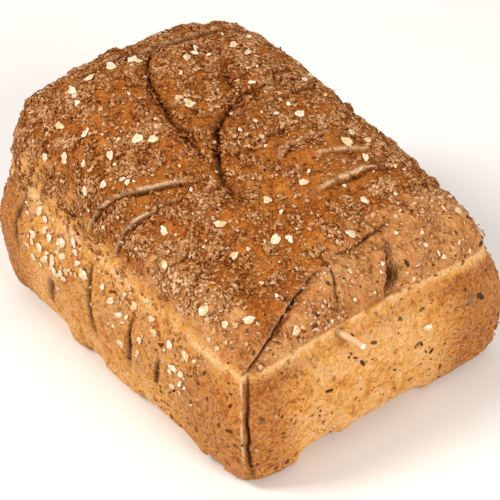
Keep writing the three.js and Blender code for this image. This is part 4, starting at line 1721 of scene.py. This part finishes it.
@dataclass
class OatFlakes(Topping):
    """Rolled oat flakes: those of the solids, the largest ones seen, and broken bits."""

    name: str = "oat_flakes"
    slot: str = "oat"
    seed: int = 33
    length: float = 5.8
    width: float = 4.4
    height: float = 0.8
    size_spread: float = 0.45
    tilt: float = 12.0
    clearance: float = 5.5
    corners: int = 14
    patches: tuple = (
        (Side.TOP, (-0.9, 0.5), (-0.84, 0.84), 62),
        (Side.TOP, (0.5, 0.9), (-0.84, 0.84), 10),
        (Side.LEFT, (-0.68, -0.36), (0.56, 0.95), 13),
        (Side.LEFT, (-0.36, 0.1), (0.62, 0.95), 8),
        (Side.LEFT, (0.1, 0.62), (0.5, 0.92), 10),
        (Side.END, (0.3, 0.6), (0.5, 0.7), 1),
        (Side.RIGHT, (-0.7, 0.6), (0.56, 0.94), 11),
        (Side.BACK, (-0.6, 0.6), (0.6, 0.94), 5),
    )
    seen: tuple[Flake, ...] = (
        *seen_on(
            Side.TOP,
            (34, -13, 5.9), (50, -22, 6.1), (28, 38, 5.8), (38, 41, 5.0), (56, 24, 5.4),
            (68, 7, 6.3), (34, -76, 5.6), (80, -62, 5.9), (-18, -9, 6.5), (-18, -40, 5.8),
            (-14, -34, 5.6), (-39, -58, 5.8), (-59, -23, 5.2), (-41, 9, 5.2), (-54, -66, 5.0),
            (-64, -84, 5.4), (-27, -81, 5.4), (22, -62, 5.2), (48, -43, 4.9), (-61, -49, 4.7),
        ),
        *seen_on(
            Side.LEFT,
            (-55, 0.92, 4.1), (-53, 0.85, 4.5), (-54, 0.69, 5.2), (-48, 0.66, 4.1),
            (-54, 0.54, 4.3), (-41, 0.87, 4.5), (-41, 0.63, 4.9), (-28, 0.89, 4.3),
            (-18, 0.80, 5.2), (-5, 0.83, 4.9), (10, 0.75, 4.7), (20, 0.89, 4.3), (13, 0.56, 4.3),
            (36, 0.83, 4.5), (26, 0.69, 5.2), (48, 0.85, 4.1),
        ),
    )
    bits: tuple[Strewing, ...] = (
        Strewing(Side.TOP, (-112, 60), (-92, 92), 210),
        Strewing(Side.TOP, (60, 118), (-92, 92), 60),
        Strewing(Side.LEFT, (-72, 70), (0.5, 0.98), 60),
        Strewing(Side.RIGHT, (-80, 80), (0.5, 0.98), 36),
        Strewing(Side.BACK, (-60, 60), (0.5, 0.98), 18),
    )
    bit_length: Pair = (0.8, 2.8)
    lift: float = 0.7
    slope: float = 26.0
    thickness: float = 0.9
    # How wavy the outlines are: waves round a flake, and their height.
    waves: tuple[Pair, ...] = ((2, 0.1), (3, 0.14), (5, 0.12), (7, 0.08))
    groove: float = 0.25

    def template(self) -> bmesh.types.BMesh:
        """Model one flake: a low disc with a rounded edge.

        Returns:
            The model.
        """
        made = bmesh.new()
        size = {"radius1": 0.5, "radius2": 0.47, "depth": 0.6}
        bmesh.ops.create_cone(made, cap_ends=True, segments=self.corners, **size)
        for way in (1, -1):
            face = next(f for f in made.faces if len(f.verts) > 4 and f.normal.z * way > 0.5)
            bmesh.ops.inset_region(made, faces=[face], thickness=0.13)
            bmesh.ops.translate(made, vec=(0, 0, 0.2 * way), verts=list(face.verts))
        return made

    def strewn_with_solids(self) -> Lie:
        """Repeat the draws that strew the flakes of the solids.

        Returns:
            Where they lie.
        """
        draw = SeededDraws(SOLID_SEED)
        halves = self.form.halves()
        places, normals, draws = [], [], []
        for side, along, other, count in self.patches:
            rows = np.array([[draw() for _ in range(7)] for _ in range(count)])
            a, b = mix(*along, rows[:, 0]), mix(*other, rows[:, 1])
            place, normal = self.form.placed(side, a * halves[side][0], b * halves[side][1])
            places.append(place)
            normals.append(normal)
            draws.append(rows[:, 2:])
        place, normal = np.concatenate(places), np.concatenate(normals)
        spots = self.form.groove_spots()
        away = np.linalg.norm(place[:, None] - spots[None], axis=2).min(axis=1)
        clear = away > self.clearance
        size, _, wide, spin, tilt = np.concatenate(draws)[clear].T
        scale = 1 - self.size_spread * size
        width = self.width * scale * mix(0.85, 1.1, wide)
        sizes = np.stack([self.length * scale, width, np.full(len(size), self.height)], 1)
        none = np.zeros(len(size))
        rolls = np.radians(self.tilt) * (2 * tilt - 1)
        return Lie(place[clear], normal[clear], 2 * math.pi * spin, none, rolls, sizes, none)

    def footprints(self) -> tuple[Array, Array]:
        """Places of the whole flakes, and how far they reach.

        Returns:
            The places as rows, and the reaches.
        """
        solids, seen = self.strewn_with_solids(), self.form.placed_each(self.seen)[0]
        lengths = np.concatenate([solids.sizes[:, 0], [f.length for f in self.seen]])
        return np.concatenate([solids.places, seen]), 0.5 * lengths

    def lie(self, rng: np.random.Generator) -> Lie:
        """Choose where flakes and bits lie.

        Args:
            rng: Where the random draws come from.

        Returns:
            Where they lie.
        """
        solids = self.strewn_with_solids()
        seen = self.form.placed_each(self.seen)
        lengths = np.array([f.length for f in self.seen])
        bits = self.form.placed_strewn(self.bits, rng)
        bit_count = len(bits[0])
        bit_lengths = mix(*self.bit_length, rng.random(bit_count) ** 1.5)
        length = np.concatenate([solids.sizes[:, 0], lengths, bit_lengths])
        count, new = len(length), len(lengths) + bit_count
        width = length * rng.uniform(0.55, 0.95, count)
        width[: len(solids.sizes)] = 0.9 * solids.sizes[:, 1]
        thick = np.full(count, self.thickness) * np.clip(length / 4, 0.5, 1)
        places = np.concatenate([solids.places, seen[0], bits[0]])
        normals = np.concatenate([solids.normals, seen[1], bits[1]])
        slope = np.radians(self.slope)
        return Lie(
            places=places + normals * self.lift,
            normals=normals,
            spins=np.concatenate([solids.spins, rng.uniform(0, 2 * math.pi, new)]),
            pitches=np.concatenate([solids.pitches, slope * rng.normal(0, 0.6, new)]),
            rolls=np.concatenate([solids.rolls, slope * rng.normal(0, 0.6, new)]),
            sizes=np.stack([length, width, thick], 1),
            tones=rng.uniform(0.3, 1, count),
        )

    def bent(self, points: Array, lie: Lie, rng: np.random.Generator) -> Array:
        """Make the outlines uneven, and press a crease along each flake.

        Args:
            points: Copies of the template.
            lie: Where they lie.
            rng: Where the random draws come from.

        Returns:
            The bent copies.
        """
        angle = np.arctan2(points[..., 1] / lie.sizes[:, 1:2], points[..., 0] / lie.sizes[:, :1])
        wave = np.ones(angle.shape)
        for turns, height in self.waves:
            wave += height * np.sin(turns * angle + rng.uniform(0, 2 * math.pi, (len(points), 1)))
        points[..., :2] *= wave[..., None]
        across = 2 * points[..., 1] / lie.sizes[:, 1:2]
        along = 2 * points[..., 0] / lie.sizes[:, :1]
        cup = rng.uniform(-0.25, 0.6, (len(points), 1))
        points[..., 2] += cup * 0.5 * (across**2 + 0.6 * along**2)
        points[..., 2] -= self.groove * bell(across, 0.35) * lie.sizes[:, 2:3]
        points += rng.normal(0, 0.09, points.shape)
        return points


@dataclass
class Linseeds(Topping):
    """Brown linseeds and coarse dark grains, half sunk in the crust."""

    name: str = "linseeds"
    slot: str = "seed"
    seed: int = 34
    sunk: float = 0.15
    tilt: float = 10.0
    thickest: float = 1.3
    seen: tuple[Flake, ...] = (
        *seen_on(
            Side.END,
            (-67, 0.68, 4.0), (-48, 0.84, 3.4), (-56, 0.43, 3.6), (-63, 0.36, 3.0),
            (-55, 0.15, 4.2), (-71, 0.27, 3.2), (-12, 0.64, 5.0), (-5, 0.76, 4.0),
            (-31, 0.57, 5.2), (-28, 0.65, 3.8), (50, 0.72, 7.4), (57, 0.69, 6.4), (24, 0.81, 3.8),
            (12, 0.81, 5.0), (19, 0.53, 5.8), (59, 0.38, 5.0), (64, 0.38, 3.6), (26, 0.42, 4.2),
        ),
        *seen_on(
            Side.TOP,
            (68, -26, 4.4), (80, -40, 5.6), (110, -41, 4.0), (67, -74, 4.6), (84, 16, 5.0),
            (61, 18, 5.0), (103, 26, 4.6), (46, -15, 4.4), (59, 4, 4.8),
        ),
        *seen_on(
            Side.LEFT,
            (94, 0.44, 3.6), (101, 0.48, 3.4), (40, 0.37, 3.6), (73, 0.86, 3.4),
        ),
    )
    strewings: tuple[Strewing, ...] = (
        Strewing(Side.TOP, (60, 121), (-98, 98), 330),
        Strewing(Side.TOP, (-115, 50), (-98, 98), 60),
        Strewing(Side.TOP, (10, 70), (-92, -48), 50),
        Strewing(Side.END, (-74, 74), (0.08, 0.95), 60),
        Strewing(Side.LEFT, (-96, 96), (0.08, 0.95), 55),
        Strewing(Side.RIGHT, (-96, 96), (0.08, 0.95), 60),
        Strewing(Side.BACK, (-74, 74), (0.08, 0.95), 60),
    )
    length: Pair = (0.9, 4.0)

    def template(self) -> bmesh.types.BMesh:
        """Model one seed: a flattened drop.

        Returns:
            The model.
        """
        made = bmesh.new()
        bmesh.ops.create_uvsphere(made, u_segments=8, v_segments=5, radius=0.5)
        for vertex in made.verts:
            vertex.co.y *= 1 - 0.5 * max(vertex.co.x, 0)
        return made

    def lie(self, rng: np.random.Generator) -> Lie:
        """Choose where the seeds lie.

        Args:
            rng: Where the random draws come from.

        Returns:
            Where they lie.
        """
        seen = self.form.placed_each(self.seen)
        strewn = self.form.placed_strewn(self.strewings, rng)
        places = np.concatenate([seen[0], strewn[0]])
        normals = np.concatenate([seen[1], strewn[1]])
        count = len(places)
        length = mix(*self.length, rng.random(count) ** 2.8)
        length[: len(self.seen)] = [f.length for f in self.seen]
        width = length * rng.uniform(0.42, 0.62, count)
        return Lie(
            places=places - normals * self.sunk,
            normals=normals,
            spins=rng.uniform(0, 2 * math.pi, count),
            pitches=np.radians(self.tilt) * rng.normal(0, 1, count),
            rolls=np.radians(self.tilt) * rng.normal(0, 1, count),
            sizes=np.stack([length, width, np.minimum(self.thickest, 0.6 * width)], 1),
            tones=rng.random(count),
        )


@dataclass
class WoodenPick:
    """The wooden pick, at the place and of the size of its solid."""

    form: LoafForm
    finish: BirchFinish
    diameter: float = 3.1
    shown: float = 17.3
    sunk: float = 12.0
    point: float = 5.0
    chamfer: float = 0.3
    tilt: float = 3.6
    swing: float = 2.6
    facets: int = 32
    rings: int = 14
    sharp_angle: float = 35.0
    grain_depth: float = 0.012  # share of its radius that the split grain takes

    def direction(self) -> Vector:
        """The way the pick points, out of the loaf."""
        swing, tilt = math.radians(self.swing), math.radians(self.tilt)
        return Vector((1, math.tan(swing), math.tan(tilt))).normalized()

    def build(self) -> bpy.types.Object:
        """Turn the pick on its axis and lay it in its place.

        Returns:
            The pick's object, which stands for its solid.
        """
        made = bmesh.new()
        radius = self.diameter / 2
        lengths = np.linspace(self.point - self.sunk, self.shown - self.chamfer, self.rings)
        outline = [(0, -self.sunk), (0.3 * radius, -self.sunk)]
        outline += [(radius, z) for z in lengths]
        outline += [(radius - self.chamfer, self.shown), (0, self.shown)]
        verts = [made.verts.new((x, 0, z)) for x, z in outline]
        edges = [made.edges.new(pair) for pair in zip(verts[:-1], verts[1:])]
        bmesh.ops.spin(
            made, geom=verts + edges, axis=(0, 0, 1), cent=(0, 0, 0), dvec=(0, 0, 0),
            angle=2 * math.pi, steps=self.facets, use_merge=True, use_duplicate=False,
        )
        bmesh.ops.remove_doubles(made, verts=made.verts, dist=1e-4)
        for vertex in made.verts:
            turn = math.atan2(vertex.co.y, vertex.co.x)
            grain = 1 - self.grain_depth * (1 + math.sin(5 * turn + 0.2 * vertex.co.z) * math.sin(9 * turn))
            vertex.co.x *= grain
            vertex.co.y *= grain
        bmesh.ops.recalc_face_normals(made, faces=made.faces)
        turn = self.direction().to_track_quat("Z", "Y").to_matrix().to_4x4()
        place = Matrix.Scale(MM, 4) @ Matrix.Translation(self.form.pick_root) @ turn
        bmesh.ops.transform(made, matrix=place, verts=made.verts)
        mesh = as_mesh(made, "birch_pick")
        mesh.shade_smooth()
        mesh.set_sharp_from_angle(angle=math.radians(self.sharp_angle))
        piece = add_object(mesh)
        mesh.materials.append(self.finish.material(place, self.shown))
        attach(piece, "root")
        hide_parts("wooden_pick")
        return piece


@dataclass
class Studio:
    """Pale floor, soft lights and the camera."""

    floor_size: float = 6.0
    lens_mm: float = 158.4
    azimuth: float = 53.456
    elevation: float = 37.381
    roll: float = -3.263
    distance_mm: float = 1110.73
    target_mm: Place = (-2.596, 6.709, 40.0)
    world_strength: float = 0.42
    lamps_aim: Place = (0, 0, 0.06)
    # Soft lights: name, place and side in metres, power in watts, colour.
    lamps: tuple = (
        ("key_softbox", (-0.65, -1.15, 1.35), 0.6, 27, "#FFF7EE"),
        ("side_softbox", (1.5, -0.1, 0.9), 0.7, 20, "#FFF8F0"),
        ("top_softbox", (-0.2, 0.6, 1.7), 0.9, 2.5, "#FFFFFF"),
    )
    finish: FloorFinish = field(default_factory=FloorFinish)

    def floor(self) -> bpy.types.Object:
        """Lay the floor under the loaf.

        Returns:
            The floor's object.
        """
        made = bmesh.new()
        bmesh.ops.create_grid(made, x_segments=1, y_segments=1, size=self.floor_size / 2)
        mesh = as_mesh(made, "studio_floor")
        mesh.materials.append(self.finish.material())
        floor = add_object(mesh)
        floor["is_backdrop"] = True
        return floor

    def lamp(self, name: str, place: tuple, size: float, power: float, colour: str) -> None:
        """Hang one square soft light that faces the loaf.

        Args:
            name: Name of the light.
            place: Where it hangs, in metres.
            size: Length of its side, in metres.
            power: Its power, in watts.
            colour: Its sRGB hex colour.
        """
        data = bpy.data.lights.new(name, "AREA")
        data.size = size
        data.energy = power
        data.color = linear(colour)[:3]
        aim = Vector(self.lamps_aim) - Vector(place)
        turn = aim.to_track_quat("-Z", "Y").to_matrix().to_4x4()
        add_object(data).matrix_world = Matrix.Translation(place) @ turn

    def lights(self) -> None:
        """Hang the lights and set the sky."""
        world = bpy.data.worlds.new("soft_sky")
        world.use_nodes = True
        sky = world.node_tree.nodes["Background"]
        sky.inputs["Color"].default_value = linear("#FFFFFF")
        sky.inputs["Strength"].default_value = self.world_strength
        bpy.context.scene.world = world
        for lamp in self.lamps:
            self.lamp(*lamp)

    def camera(self) -> bpy.types.Object:
        """Set the camera at the photograph's angle.

        Returns:
            The camera's object.
        """
        az, el, roll = (math.radians(a) for a in (self.azimuth, self.elevation, self.roll))
        back = Vector((math.sin(az) * math.cos(el), -math.cos(az) * math.cos(el), math.sin(el)))
        right = Vector((math.cos(az), math.sin(az), 0))
        up = back.cross(right)
        turned_right = right * math.cos(roll) + up * math.sin(roll)
        turned_up = up * math.cos(roll) - right * math.sin(roll)
        data = bpy.data.cameras.new("photo_camera")
        data.lens = self.lens_mm
        data.clip_start, data.clip_end = 0.05, 20
        camera = add_object(data)
        place = (Vector(self.target_mm) + back * self.distance_mm) * MM
        turn = Matrix((turned_right, turned_up, back)).transposed()
        camera.matrix_world = Matrix.Translation(place) @ turn.to_4x4()
        bpy.context.scene.camera = camera
        return camera

    def build(self) -> None:
        """Set up the whole studio."""
        self.floor()
        self.lights()
        self.camera()
        view = bpy.context.scene.view_settings
        view.view_transform = "Standard"
        view.look = "None"


def main() -> None:
    """Build the studio and every piece, in order."""
    logging.basicConfig(level=logging.INFO)
    cad_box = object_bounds()
    Studio().build()
    form = LoafForm()
    bed = BranBed(form)
    flakes = OatFlakes(form, ROLLED_OATS, cad_box)
    bed.clear(*flakes.footprints())
    makers = (
        Crust(form, CrustFinish(), cad_box),
        *(Bran(form, WHEAT_BRAN, cad_box, bed=bed, kind=kind) for kind in BRAN_KINDS),
        flakes,
        Linseeds(form, LINSEED_HUSK, cad_box),
        WoodenPick(form, BirchFinish()),
    )
    for maker in makers:
        piece = maker.build()
        LOG.info("%s: %d faces", piece.name, len(piece.data.polygons))


if __name__ == "__main__":
    main()
